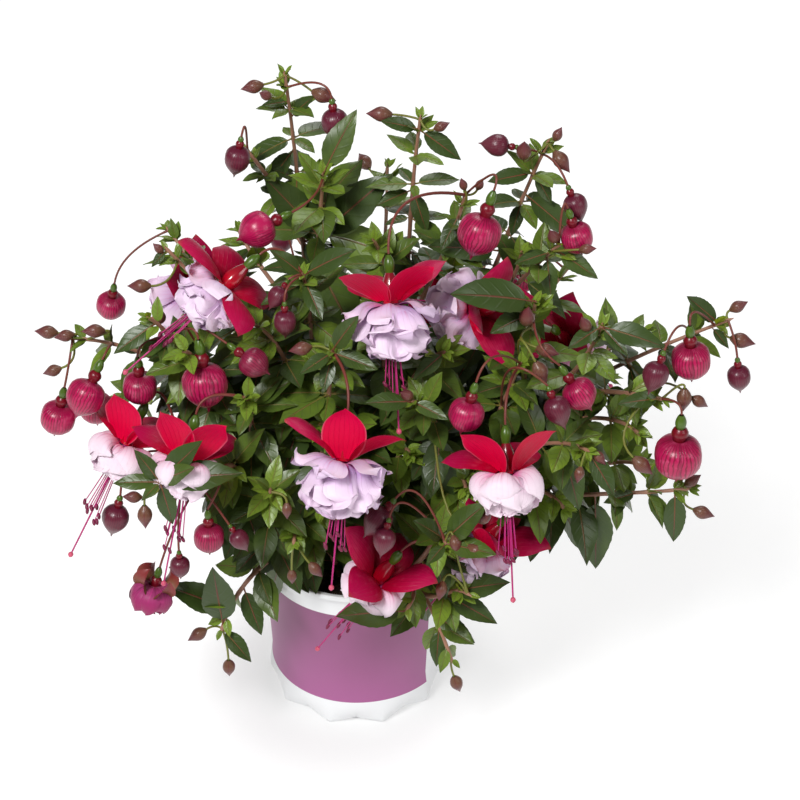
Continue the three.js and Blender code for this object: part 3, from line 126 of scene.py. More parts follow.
# Where a leaf is bent another way to keep clear of its neighbours: yaw, droop and scale
TRIES = [
    (0, 0, 1), (16, 0, 1), (-16, 0, 1), (0, 0.3, 1), (0, -0.3, 1), (32, 0.15, 0.95), (-32, 0.15, 0.95),
    (24, -0.35, 0.9), (-24, -0.35, 0.9), (12, 0.6, 0.85), (-12, 0.6, 0.85), (45, 0.4, 0.8), (-45, 0.4, 0.8),
    (0, -0.7, 0.8), (0, 0.15, 0.62), (25, -0.15, 0.62), (-25, 0.3, 0.62),
]

# Each row has the shoot's name, whose letter gives its stem in the pot, where the photograph shows its tip
# and how far behind the mound that is, how far up the stem's first shoot it forks off or 0, the way its
# tip points, the size of its leaves, the turn of its first pair and its number of pairs. A place with three
# numbers is in millimetres, for what the photograph doesn't show.
SHOOT_FACTS = ("id", "at", "deep", "fork", "end", "leaf", "turn", "pairs")
SHOOTS = [
    ("A1", (284, 70), 0, 0, (-0.1, -0.1, 1), 0.78, 20, 6),
    ("A2", (323, 172), 10, 0.42, (0.05, -0.35, 0.9), 1.25, 35, 5),
    ("A3", (244, 146), 15, 0.62, (-0.5, 0, 0.8), 0.5, 0, 3),
    ("B1", (421, 114), 0, 0, (0.12, 0, 1), 0.78, 0, 5),
    ("B2", (466, 190), 8, 0.5, (0.15, -0.1, 1), 0.6, 10, 4),
    ("C1", (550, 138), 0, 0, (0.35, -0.1, 1), 0.75, 30, 6),
    ("C2", (562, 243), 0, 0.5, (0.4, -0.45, 0.7), 0.8, 0, 4),
    ("D1", (302, 272), -6, 0, (-0.1, -0.5, 0.85), 0.85, 50, 5),
    ("D2", (164, 246), 0, 0.4, (-0.6, 0, 0.8), 0.7, 0, 5),
    ("E1", (66, 338), 0, 0, (-1, -0.1, 0.1), 0.72, 60, 6),
    ("E2", (146, 316), 0, 0.5, (-0.5, -0.4, 0.7), 0.8, 20, 5),
    ("F1", (149, 478), 0, 0, (-0.6, -0.75, 0.1), 0.95, 20, 5),
    ("F2", (243, 398), 0, 0.5, (-0.2, -0.8, 0.5), 0.85, 0, 4),
    ("G1", (221, 634), 22, 0, (-0.15, -0.25, -1), 0.78, 80, 5),
    ("G2", (270, 494), 0, 0.4, (0, -0.9, 0.3), 0.75, 40, 4),
    ("H1", (294, 548), 20, 0, (0.05, -0.9, -0.3), 0.78, 0, 4),
    ("H2", (332, 350), 0, 0.35, (0, -0.65, 0.75), 0.9, 60, 5),
    ("I1", (453, 664), 12, 0, (0.3, -0.2, -1), 0.8, 70, 5),
    ("I2", (446, 545), 5, 0.4, (0.1, -0.9, 0.1), 0.75, 20, 4),
    ("I3", (472, 597), 12, 0.55, (0.6, -0.7, -0.2), 0.8, 30, 3),
    ("J1", (590, 452), 0, 0, (0.4, -0.85, 0.3), 0.9, 10, 5),
    ("J2", (522, 362), 0, 0.4, (0.1, -0.65, 0.75), 0.85, 40, 4),
    ("J3", (411, 402), 0, 0.3, (-0.3, -0.8, 0.5), 0.75, 70, 4),
    ("K1", (734, 318), 0, 0, (0.9, -0.1, 0.5), 0.75, 30, 7),
    ("K2", (668, 400), 0, 0.6, (0.85, -0.4, 0.1), 0.7, 0, 4),
    ("L1", (603, 322), 0, 0, (0.15, -0.3, 1), 0.85, 20, 5),
    ("L2", (536, 300), 0, 0.45, (0.05, -0.5, 0.85), 0.85, 65, 5),
    ("M1", (694, 488), 5, 0, (1, -0.1, 0.25), 0.85, 40, 5),
    ("N1", (-120, 120, 265), 0, 0, (-0.6, 0.6, 0.5), 0.9, 0, 6),
    ("N2", (-158, 92, 150), 0, 0.45, (-0.7, 0.5, -0.4), 0.85, 40, 5),
    ("O1", (20, 138, 300), 0, 0, (0, 0.6, 0.8), 0.95, 30, 6),
    ("O2", (-35, 165, 165), 0, 0.4, (-0.1, 0.9, -0.4), 0.9, 10, 6),
    ("P1", (135, 105, 245), 0, 0, (0.6, 0.6, 0.5), 0.9, 20, 6),
    ("Q1", (378, 306), 14, 0, (-0.1, -0.3, 1), 0.95, 30, 6),
    ("Q2", (446, 352), 16, 0.5, (0.3, -0.7, 0.5), 1, 70, 4),
    ("Q3", (410, 455), 45, 0.3, (0.1, -0.9, 0.1), 1, 20, 4),
    ("Q4", (318, 425), 35, 0.4, (-0.4, -0.8, 0.3), 1, 0, 4),
    ("B3", (372, 238), 18, 0.45, (-0.3, -0.4, 0.8), 0.9, 40, 4),
    ("C3", (522, 250), 8, 0.45, (0, -0.5, 0.8), 0.9, 0, 4),
    ("D3", (246, 322), 12, 0.4, (-0.5, -0.5, 0.5), 0.95, 30, 4),
    ("E3", (182, 352), 4, 0.45, (-0.2, -0.8, 0.5), 0.9, 50, 3),
    ("F3", (216, 478), 26, 0.4, (-0.3, -0.9, -0.1), 0.95, 60, 3),
    ("G3", (322, 512), 34, 0.3, (0.3, -0.8, 0), 0.95, 10, 3),
    ("I4", (404, 612), 16, 0.35, (-0.7, -0.6, -0.4), 0.9, 20, 3),
    ("J4", (566, 512), 26, 0.4, (0.4, -0.8, -0.4), 1, 50, 4),
    ("J5", (466, 492), 36, 0.25, (0, -0.9, -0.1), 1, 20, 4),
    ("K3", (640, 436), 12, 0.45, (0.3, -0.8, 0), 0.9, 30, 4),
    ("L3", (648, 330), 10, 0.45, (0.7, -0.3, 0.5), 0.95, 50, 4),
    ("M2", (655, 470), 20, 0.4, (0.6, -0.6, 0), 0.9, 10, 3),
    ("A4", (-72, 88, 285), 0, 0.4, (-0.4, 0.6, 0.7), 0.95, 30, 4),
    ("C4", (88, 92, 280), 0, 0.4, (0.4, 0.6, 0.7), 0.95, 0, 4),
    ("N3", (-84, 138, 200), 0, 0.4, (-0.2, 0.9, 0.1), 1, 20, 4),
    ("O3", (76, 122, 250), 0, 0.45, (0.4, 0.7, 0.5), 1, 50, 4),
    ("O4", (-42, 128, 262), 0, 0.5, (-0.4, 0.7, 0.5), 1, 10, 4),
    ("P3", (162, 62, 188), 0, 0.45, (0.8, 0.4, -0.2), 0.95, 40, 4),
    ("P4", (64, 140, 182), 0, 0.3, (0.1, 0.9, -0.1), 1, 70, 4),
    ("P2", (95, 145, 140), 0, 0.4, (0.5, 0.8, -0.5), 0.85, 60, 5),
]

# The flowers: place, depth, shoot, the way they hang, the petals' size, and the turn and lift of each sepal
BLOOM_FACTS = ("at", "deep", "on", "way", "petals", "sepals")
BLOOMS = [
    ((223, 287), -8, "D1", (-0.75, -0.4, -0.53), 0.8, ((102, -6), (-168, 24), (-96, 18), (-2, -22))),
    ((391, 303), -8, "B2", (0.05, -0.5, -0.86), 1, ((145, 26), (50, 30), (-14, 32), (-125, 15))),
    ((472, 308), 26, "L2", (-0.6, 0.35, -0.25), 0.8, ((20, 32), (110, 45), (200, 36), (290, 30))),
    ((343, 460), -6, "H2", (-0.1, -0.48, -0.87), 1, ((84, 62), (10, 26), (158, 30), (-96, 8))),
    ((507, 473), 0, "J2", (0.04, -0.5, -0.86), 1.15, ((150, 40), (28, 42), (205, 6), (-60, 12))),
    ((378, 579), 22, "I2", (-0.48, 0.1, -0.84), 1, ((24, 10), (-72, 48), (-174, 8), (92, 30))),
    ((484, 543), 34, "J5", (-0.5, 0, -0.8), 0.8, ((10, 34), (100, 40), (190, 44), (280, 34))),
    ((126, 444), 12, "F1", (-0.45, -0.45, -0.77), 1, ((88, 44), (3, 28), (-92, 22), (168, 22))),
    ((187, 461), 8, "F2", (-0.2, -0.42, -0.88), 1, ((110, 50), (26, 48), (-74, 16), (184, 10))),
    ((-108, 138, 203), 0, "N1", (-0.4, 0.55, -0.7), 1, ((15, 50), (105, 42), (195, 52), (285, 46))),
    ((52, 170, 168), 0, "O1", (0.2, 0.6, -0.75), 1, ((40, 52), (130, 36), (220, 44), (310, 56))),
    ((138, 125, 170), 0, "P1", (0.45, 0.4, -0.8), 1, ((0, 42), (90, 54), (180, 40), (270, 48))),
]

# The buds: place, depth, size, shoot and the way they point
BUD_FACTS = ("at", "deep", "size", "on", "way")
BUDS = [
    ((237, 160), 0, 15, "A3", (-0.2, 0, -1)),
    ((257, 230), 0, 21, "A2", (-0.85, -0.5, -0.2)),
    ((335, 124), 8, 16, "A1", (0.1, 0, -1)),
    ((324, 96), 0, 9, "A1", (0.9, -0.2, -0.3)),
    ((252, 87), 0, 8, "A1", (-0.9, -0.2, -0.1)),
    ((265, 95), -4, 6, "A1", (-0.6, -0.5, 0.6)),
    ((379, 114), 0, 9, "B1", (-0.9, -0.1, 0.1)),
    ((442, 126), 0, 6, "B1", (0.6, 0, 0.3)),
    ((496, 145), 0, 13, "C1", (-0.8, 0, 0.1)),
    ((524, 150), 0, 9, "C1", (0, -0.3, 0.9)),
    ((562, 162), 0, 9, "C1", (0.5, -0.3, -0.6)),
    ((558, 134), 0, 6, "C1", (0.4, 0, 0.9)),
    ((479, 234), -4, 25, "B2", (-0.3, -0.2, -0.95)),
    ((576, 207), 0, 14, "C1", (0.35, -0.1, -0.9)),
    ((577, 238), 8, 19, "C2", (0.3, 0, -1)),
    ((463, 184), 0, 5, "B2", (-0.3, 0, 1)),
    ((480, 184), 0, 5, "B2", (0.4, 0, 1)),
    ((553, 236), -3, 7, "C2", (-0.4, -0.3, 0.9)),
    ((588, 249), 0, 6, "C2", (0.9, -0.2, 0.2)),
    ((285, 323), 0, 13, "D1", (0, -0.1, -1)),
    ((277, 297), 0, 11, "D1", (-0.5, -0.5, -0.6)),
    ((139, 286), 0, 8, "D2", (-0.95, 0, 0)),
    ((158, 248), 0, 5, "D2", (-0.6, 0, 0.7)),
    ((85, 397), -6, 22, "E1", (-0.45, -0.4, -0.85)),
    ((58, 418), 0, 21, "E1", (-0.25, 0, -1)),
    ((96, 408), 18, 20, "E1", (0, 0, -1)),
    ((140, 388), 6, 20, "E2", (0, 0, -1)),
    ((46, 332), 0, 8, "E1", (-0.95, 0, 0.1)),
    ((64, 336), -5, 7, "E1", (-0.9, -0.3, 0)),
    ((93, 331), 0, 8, "E1", (-0.9, -0.2, 0.1)),
    ((52, 371), 0, 7, "E1", (-0.8, 0, -0.3)),
    ((160, 316), 0, 7, "E2", (0.1, -0.2, 1)),
    ((205, 385), -8, 26, "E2", (0.1, -0.2, -1)),
    ((254, 363), 0, 17, "D1", (0.8, -0.3, -0.5)),
    ((300, 349), 0, 8, "H2", (-0.9, -0.3, 0)),
    ((115, 519), 0, 16, "F1", (-0.25, -0.1, -1)),
    ((145, 517), 0, 9, "F1", (0, -0.2, -1)),
    ((132, 497), 0, 7, "F1", (-0.7, -0.2, 0.2)),
    ((209, 538), -4, 18, "F1", (0, -0.1, -1)),
    ((240, 540), 0, 11, "F1", (0.5, -0.2, -0.8)),
    ((180, 567), 0, 12, "F1", (0, 0, -1)),
    ((151, 598), 0, 20, "F1", (-0.3, -0.2, -1)),
    ((287, 511), 0, 6, "G2", (0, -0.3, -1)),
    ((197, 635), 22, 8, "G1", (-0.7, -0.2, -0.4)),
    ((229, 668), 22, 8, "G1", (0, 0, -1)),
    ((292, 577), 22, 6, "H1", (0, -0.1, -1)),
    ((316, 570), 22, 7, "H1", (0.6, -0.2, -0.7)),
    ((377, 521), 8, 16, "I2", (-0.6, -0.3, -0.7)),
    ((384, 541), -2, 13, "I2", (-0.2, -0.4, -0.8)),
    ((406, 395), 0, 7, "J3", (-0.5, -0.4, 0.6)),
    ((456, 545), 2, 7, "I2", (0.3, -0.5, -0.8)),
    ((478, 552), -4, 8, "I3", (0.7, -0.4, -0.3)),
    ((485, 516), 0, 8, "J3", (0.5, -0.2, 0.7)),
    ((457, 684), 12, 8, "I1", (0.3, 0, -1)),
    ((441, 591), 10, 7, "I3", (-0.2, -0.5, -0.7)),
    ((466, 415), 0, 20, "J2", (-0.25, -0.1, -1)),
    ((527, 316), 0, 9, "L2", (0.1, -0.2, 1)),
    ((548, 351), 0, 8, "L2", (0.8, -0.3, -0.1)),
    ((541, 373), 0, 9, "L2", (0.4, -0.2, -0.8)),
    ((580, 394), 0, 19, "L2", (0.5, -0.2, -0.7)),
    ((558, 411), -5, 15, "J2", (0.35, -0.3, -0.8)),
    ((585, 324), 0, 7, "L1", (-0.4, -0.1, 1)),
    ((655, 376), -6, 15, "K1", (-0.3, -0.3, -0.9)),
    ((691, 361), 0, 23, "K1", (0.1, 0, -1)),
    ((739, 378), 0, 14, "K1", (0.15, 0, -1)),
    ((743, 341), 0, 9, "K1", (0.9, -0.1, -0.2)),
    ((739, 306), 0, 7, "K1", (0.8, 0, 0.5)),
    ((678, 457), -4, 28, "K2", (0, 0, -1)),
    ((684, 400), 0, 9, "K2", (0, -0.1, -1)),
    ((700, 402), 0, 7, "K2", (0.7, 0, -0.5)),
    ((643, 466), 0, 9, "K2", (0.6, -0.2, -0.5)),
    ((693, 480), 0, 7, "M1", (0.7, 0, 0.6)),
    ((704, 513), 0, 8, "M1", (0.9, -0.1, -0.3)),
    ((579, 475), 0, 6, "J1", (-0.2, -0.4, -0.9)),
    ((600, 458), 0, 6, "J1", (0.5, -0.4, -0.5)),
    ((-158, 118, 205), 0, 19, "N1", (-0.2, 0.2, -1)),
    ((-50, 178, 215), 0, 15, "O2", (0, 0.3, -1)),
    ((5, 165, 285), 0, 9, "O1", (-0.4, 0.8, 0.2)),
    ((108, 150, 205), 0, 20, "P1", (0.2, 0.2, -1)),
]

# A short tip that comes forward between two flowers: its shoot, place along it, pixel and reach
SPRIGS = {"F4": ("F1", 0.96, (160, 482), 34)}

# Large leaves that stand out in the photograph, by shoot: the pixels of foot and tip, how far the tip comes
# forward of the foot, and the blade's roll in degrees
PLACED = {
    "A2": [
        (345, 174, 352, 111, -8, 0), (333, 238, 384, 176, 4, 15), (307, 234, 268, 178, 8, -10),
        (322, 247, 325, 189, 10, 0),
    ],
    "A1": [
        (322, 180, 279, 167, 12, 0), (288, 120, 310, 96, 8, 10), (284, 100, 262, 104, 6, 0),
        (292, 150, 262, 188, 10, 0),
    ],
    "D1": [
        (305, 276, 348, 247, 8, 0), (302, 276, 277, 250, 8, 0), (300, 280, 322, 318, 22, 0),
        (296, 284, 262, 300, 16, 0),
    ],
    "B1": [
        (423, 130, 462, 159, 10, 10), (415, 128, 385, 119, 8, -10), (410, 190, 428, 233, 12, 0),
        (408, 188, 374, 205, 10, 0),
    ],
    "B2": [(462, 215, 440, 250, 14, 0)],
    "C1": [
        (515, 197, 511, 236, 12, 0), (525, 195, 578, 236, 14, 0), (510, 165, 488, 180, 8, 0),
        (537, 172, 553, 204, 8, 0), (496, 250, 432, 243, 22, 0),
    ],
    "C2": [(556, 250, 600, 276, 10, 0), (550, 250, 515, 262, 10, 0), (552, 262, 552, 300, 16, 0)],
    "L2": [(523, 297, 459, 288, 24, 0), (528, 312, 492, 330, 26, 0)],
    "D2": [(168, 250, 150, 266, 6, 0)],
    "E2": [(150, 330, 112, 352, 12, 0)],
    "F4": [
        (160, 482, 198, 441, 2, 0), (160, 482, 238, 468, 4, 0), (160, 482, 174, 527, 8, 0),
        (160, 482, 113, 480, 2, 0), (160, 482, 138, 452, 0, 0), (160, 482, 190, 466, 12, 0),
        (160, 482, 142, 498, 12, 0),
    ],
    "F1": [(200, 500, 279, 512, 24, 0)],
    "F2": [(236, 440, 290, 486, 22, 0), (240, 420, 268, 456, 18, 0)],
    "G1": [
        (212, 600, 169, 584, 10, 0), (216, 622, 214, 577, 14, 0), (228, 628, 252, 662, 12, 0),
        (240, 585, 262, 636, 16, 0),
    ],
    "H2": [
        (332, 352, 376, 366, 14, 0), (332, 352, 300, 372, 14, 0), (334, 350, 352, 318, 8, 0),
        (330, 355, 322, 392, 18, 0),
    ],
    "Q2": [(462, 358, 413, 378, 16, 0)],
    "L1": [(610, 312, 666, 343, 14, 0), (600, 315, 570, 345, 18, 0), (605, 318, 628, 352, 16, 0)],
    "K1": [(716, 318, 690, 296, 4, 0), (712, 322, 730, 348, 8, 0)],
    "K2": [(660, 402, 622, 400, 10, 0)],
    "J1": [(560, 462, 581, 512, 16, 0), (585, 455, 618, 496, 14, 0)],
    "M1": [(672, 489, 675, 546, 12, 0), (640, 492, 606, 500, 10, 0), (598, 505, 597, 574, 12, 0)],
    "J3": [(407, 440, 444, 520, 20, 0), (410, 404, 368, 400, 14, 0), (412, 402, 446, 416, 14, 0)],
    "I4": [(404, 616, 343, 612, 26, 0)],
    "I1": [(430, 617, 475, 641, 16, 0), (445, 625, 436, 668, 14, 0)],
    "I3": [(450, 592, 505, 580, 14, 0), (446, 600, 498, 622, 14, 0)],
    "I2": [
        (452, 535, 420, 520, 14, 0), (455, 538, 478, 505, 12, 0), (458, 542, 428, 562, 16, 0),
        (460, 540, 494, 552, 18, 0),
    ],
}

def rows_of(names, rows):
    """Each row of a table as a dictionary."""
    return [dict(zip(names, row)) for row in rows]


SHOOTS = rows_of(SHOOT_FACTS, SHOOTS)
BLOOMS = rows_of(BLOOM_FACTS, BLOOMS)
BUDS = rows_of(BUD_FACTS, BUDS)


# Places, as in the source of the solids


def sighted(pixel, toward):
    """The point seen at a pixel of the photograph, so far towards the viewer."""
    u, v = pixel
    fall = (v - CENTRE) / FOCAL
    rise = (SIN * toward - fall * (DISTANCE - COS * toward)) / (COS - SIN * fall)
    depth = DISTANCE - COS * toward - SIN * rise
    return Vector((ACROSS + (u - CENTRE) / FOCAL * depth, -toward, HIGH + rise))


def seen_at(point):
    """The photograph's pixel in which a point is seen."""
    gap = point - CAMERA_AT
    ahead = gap.y * COS - gap.z * SIN
    above = gap.z * COS + gap.y * SIN
    return Vector((CENTRE + FOCAL * gap.x / ahead, CENTRE - FOCAL * above / ahead))


def slid_to(item, slide):
    """An item's place when it is moved inwards by so much."""
    at = item["at"]
    if len(at) == 3:
        return Vector(at) - Vector((*at[:2], 0)).normalized() * slide
    bulge = np.interp(at[1], MOUND_ROWS, MOUND_BULGE)
    sideways = (at[0] - MOUND_MIDDLE) / MOUND_HALF_WIDTH
    return sighted(at, bulge * math.sqrt(max(0, 1 - sideways**2)) - item["deep"] - slide)


def draw(a, b, c):
    """A repeatable number from 0 to 1 for three whole numbers."""
    wave = math.sin(a * 127.1 + b * 311.7 + c * 74.7) * 43758.5453
    return wave - math.floor(wave)


def across(axis, hint=UP):
    """Two directions square to an axis and to each other."""
    side = hint.cross(axis)
    if side.length < 0.05:
        side = Vector((0, 1, 0.2)).cross(axis)
    side.normalize()
    return side, axis.cross(side).normalized()


def outward(pair, angle):
    return pair[0] * math.cos(angle) + pair[1] * math.sin(angle)


def line(start, way, distances):
    return [start + way * distance for distance in distances]


class Curve:
    """A Bezier curve that can be followed by its length."""

    STEPS = 200

    def __init__(self, *controls):
        self.controls = controls
        points = self.points(self.STEPS)
        gaps = [(b - a).length for a, b in zip(points, points[1:])]
        self.lengths = np.concatenate([[0], np.cumsum(gaps)])
        self.length = self.lengths[-1]

    def point(self, t):
        points = self.controls
        while len(points) > 1:
            points = [a * (1 - t) + b * t for a, b in zip(points, points[1:])]
        return points[0]

    def points(self, count):
        return [self.point(i / count) for i in range(count + 1)]

    def point_at(self, share):
        target = min(max(share, 0), 1) * self.length
        return self.point(np.interp(target, self.lengths, range(self.STEPS + 1)) / self.STEPS)


@functools.cache
def tree_of(node):
    """The corners of a CAD node, to see which of its possible places an item has taken."""
    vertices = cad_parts[node].data.vertices
    tree = kdtree.KDTree(len(vertices))
    for i, vertex in enumerate(vertices):
        tree.insert(vertex.co * 1000, i)
    tree.balance()
    return tree


def miss(node, points):
    """How far these points are from the node's nearest corners, on average."""
    return sum(tree_of(node).find(point)[2] for point in points) / len(points)


def settled(item, node, reach=Vector()):
    """Where the solids have an item: of its possible places, the one whose end meets a corner."""
    places = [slid_to(item, slide) for slide in SLIDES]
    return min(places, key=lambda place: miss(node, [place + reach]))


# Shoots


def pairs_down(shoot, length, clear, first=0):
    """The pairs of leaves that a shoot of this length has room for, and how far below its tip each is."""
    scale = 0.75 + 0.25 * shoot["leaf"]
    last = len(PAIR_AT) - 1
    pair = first
    while True:
        below = (PAIR_AT[min(pair, last)] + 25 * max(0, pair - last)) * scale
        if below >= length - clear:
            return
        yield pair, below
        pair += 1


def shoot_curve(shoot, start, tip, lean):
    end = Vector(shoot["end"]).normalized()
    out = Vector((tip.x, tip.y, 0)).normalized()
    if start:
        root = start["p"]
        leaving = start["tangent"].lerp((tip - root).normalized(), lean)
    else:
        root = out * (12 + 0.13 * math.hypot(tip.x, tip.y)) + UP * (SOIL_TOP - STEM_DEPTH)
        leaving = out * 0.28 + UP
    reach = (tip - root).length
    first = 0.3 * reach if start else max(80, 0.45 * reach)
    return Curve(root, root + leaving.normalized() * first, tip - end * 0.33 * reach, tip)


def fork_nodes(stations, length, share):
    """The two stations nearest to a place along a shoot."""
    far = [0.0]
    for a, b in zip(stations, stations[1:]):
        far.append(far[-1] + (b["p"] - a["p"]).length)
    inner = list(range(len(stations) - 2, 0, -1))
    inner.sort(key=lambda i: abs(far[i] - share * length))
    return [stations[i] for i in inner[:2]]


def stations_of(shoot, curve):
    """A shoot's root, tip and the places between that bear leaves or side shoots."""
    length = curve.length
    pairs = [(length - below, k) for k, below in pairs_down(shoot, length, 15 if shoot["fork"] else 30)]
    thick = 0.8 * STEM_ROOT_RADIUS if shoot["fork"] else STEM_ROOT_RADIUS
    stations = []
    for distance, k in [(0, -1), *reversed(pairs), (length, -1)]:
        radius = thick + (STEM_TIP_RADIUS - thick) * distance / length
        stations.append({"k": k, "p": curve.point_at(distance / length), "radius": radius, "along": distance})
    last = len(stations) - 1
    for i, station in enumerate(stations):
        station["tangent"] = (stations[min(i + 1, last)]["p"] - stations[max(i - 1, 0)]["p"]).normalized()
        station["bears"] = 0 <= station["k"] < shoot["pairs"]
    for child in SHOOTS:
        if child["fork"] and first_of(child) == shoot["id"]:
            for node in fork_nodes(stations, length, child["fork"]):
                node["bears"] = True
    return [station for i, station in enumerate(stations) if station["bears"] or i % 2 == 0 or i == last]


def first_of(shoot):
    """The first shoot of the same stem."""
    return shoot["id"][0] + "1"


def ring_points(centre, pair, radius):
    return [centre + outward(pair, j * TURN / ROD_SIDES) * radius for j in range(ROD_SIDES)]


def shoot_signature(stations):
    """The corners of the solid shoot's rings."""
    points = []
    pair = None
    for station in stations[:-1]:
        pair = across(station["tangent"], pair[1] if pair else UP)
        if station["bears"]:
            for centre in line(station["p"], station["tangent"], (-STEM_NODE, STEM_NODE)):
                points += ring_points(centre, pair, station["radius"])
    return points


def best_of(ways):
    """Of some ways to draw a thing, each behind its miss, the one that meets the solid best."""
    return min(ways, key=lambda way: way[0])[1:]


shoots = {}
for index, shoot in enumerate(SHOOTS):
    node = f"leafy_stem_{ord(shoot['id'][0]) - ord('A') + 1:02d}"
    tip = settled(shoot, node)
    starts, leans = [None], [0]
    if shoot["fork"]:
        parent = shoots[first_of(shoot)]
        starts, leans = fork_nodes(parent["stations"], parent["curve"].length, shoot["fork"]), LEANS
    curves = [shoot_curve(shoot, start, tip, lean) for lean in leans for start in starts]
    ways = [(curve, stations_of(shoot, curve)) for curve in curves]
    curve, stations = best_of((miss(node, shoot_signature(way[1])), *way) for way in ways)
    shoot.update(index=index, node=node, curve=curve, stations=stations)
    shoots[shoot["id"]] = shoot


# Meshes


class Pile:
    """Grids of points gathered into one mesh, with a material and three numbers at each point."""

    def __init__(self):
        self.points, self.facts, self.faces, self.materials = [], [], [], []
        self.count = 0

    def grid(self, points, facts, material, wrap=False, flip=False):
        rows, columns = points.shape[:2]
        i, j = np.meshgrid(np.arange(rows - 1), np.arange(columns if wrap else columns - 1), indexing="ij")
        k = (j + 1) % columns
        corners = [i * columns + j, i * columns + k, (i + 1) * columns + k, (i + 1) * columns + j]
        faces = np.stack(corners[::-1] if flip else corners, axis=-1).reshape(-1, 4) + self.count
        self.points.append(points.reshape(-1, 3))
        self.facts.append(np.broadcast_to(facts, points.shape).reshape(-1, 3))
        self.faces.append(faces)
        self.materials.append(np.full(len(faces), material))
        self.count += rows * columns

    def tube(self, centres, radii, sides, material, facts, swell=None, closing=False):
        """A round tube. `swell` gives a factor for the radius from the row and the angle. With `closing` the
        third fact runs round the tube, and is the same at both sides of the place where it closes."""
        centres = np.array(centres, float)
        tangents = np.gradient(centres, axis=0)
        tangents /= np.linalg.norm(tangents, axis=1)[:, None] + 1e-9
        side = np.cross(tangents[0], [0, 0, 1.0])
        if np.linalg.norm(side) < 0.1:
            side = np.cross(tangents[0], [0, 1.0, 0.2])
        angles = np.arange(sides) * TURN / sides
        rows = []
        for i, (centre, tangent, radius) in enumerate(zip(centres, tangents, radii)):
            side = side - tangent * side.dot(tangent)
            side /= np.linalg.norm(side)
            ring = np.outer(np.cos(angles), side) + np.outer(np.sin(angles), np.cross(tangent, side))
            factor = swell(i, angles) if swell else np.ones(sides)
            rows.append(centre + ring * (radius * factor)[:, None])
        points = np.array(rows)
        facts = np.array(facts, float)
        facts = np.broadcast_to(facts if facts.ndim == 1 else facts[:, None], points.shape).copy()
        if closing:
            facts[..., 2] = 1 - np.abs(1 - 2 * np.arange(sides) / sides)
        self.grid(points, facts, material, wrap=True)

    def piece(self, name, materials, slot, node):
        mesh = bpy.data.meshes.new(name)
        points = np.concatenate(self.points) / 1000
        faces = np.concatenate(self.faces)
        mesh.vertices.add(len(points))
        mesh.vertices.foreach_set("co", points.ravel())
        mesh.loops.add(faces.size)
        mesh.loops.foreach_set("vertex_index", faces.ravel())
        mesh.polygons.add(len(faces))
        mesh.polygons.foreach_set("loop_start", np.arange(0, faces.size, 4))
        mesh.polygons.foreach_set("material_index", np.concatenate(self.materials))
        mesh.polygons.foreach_set("use_smooth", np.ones(len(faces), bool))
        facts = mesh.attributes.new("facts", "FLOAT_VECTOR", "POINT")
        facts.data.foreach_set("vector", np.concatenate(self.facts).ravel())
        for material in materials:
            mesh.materials.append(material)
        mesh.update()
        mesh.validate()
        piece = bpy.data.objects.new(name, mesh)
        bpy.context.scene.collection.objects.link(piece)
        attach(piece, "root")
        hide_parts(node)


def smooth(xs, ys, x):
    """A smooth line through some values."""
    xs, ys = np.array(xs, float), np.array(ys, float)
    slopes = np.gradient(ys, xs)
    i = np.clip(np.searchsorted(xs, x, side="right") - 1, 0, len(xs) - 2)
    width = xs[i + 1] - xs[i]
    t = np.clip((x - xs[i]) / width, 0, 1)
    a = (2 * t**3 - 3 * t**2 + 1) * ys[i] + (t**3 - 2 * t**2 + t) * width * slopes[i]
    b = (3 * t**2 - 2 * t**3) * ys[i + 1] + (t**3 - t**2) * width * slopes[i + 1]
    return a + b


def oval(shares, least=0.02):
    """The radius of an egg of radius 1 along its length, from -0.5 to 0.5."""
    return np.sqrt(np.maximum(least, 1 - (2 * shares) ** 2))


STEM_SKIN, LEAF_SKIN, BUD_SKIN, STALK_SKIN, OVARY_SKIN, SPENT_SKIN, FADED_SKIN = range(7)
piles = {}


def pile_of(node):
    return piles.setdefault(node, Pile())


# Stems

for shoot in shoots.values():
    curve, stations = shoot["curve"], shoot["stations"]
    steps = max(8, int(curve.length / 3.5))
    thick = stations[0]["radius"]
    knots = [station["along"] for station in stations if station["bears"]]
    centres, radii, facts = [], [], []
    for share in np.arange(steps + 1) / steps:
        distance = share * curve.length
        near = min((abs(distance - knot) for knot in knots), default=99)
        radius = (thick + (STEM_TIP_RADIUS - thick) * share) * (1 + 0.22 * math.exp(-((near / 2.4) ** 2)))
        radii.append((0.85 if share < 1 else 0.1) * radius)
        centres.append(curve.point_at(share))
        facts.append((min(1, (curve.length - distance) / 130), share, draw(shoot["index"], 3, 4)))
    pile_of(shoot["node"]).tube(centres, radii, 8, STEM_SKIN, facts)


# Leaves

Leaf = namedtuple("Leaf", "foot way normal side length arch age chance slim")


def leaf_of(foot, way, light, length, arch, age, chance, roll=0, slim=1):
    """A leaf that points one way and turns its face to the light, or rolled from there."""
    way = way.normalized()
    normal = (light - way * light.dot(way)).normalized()
    normal = normal * math.cos(roll) + way.cross(normal) * math.sin(roll)
    return Leaf(foot, way, normal, way.cross(normal), length, arch, age, chance, slim)


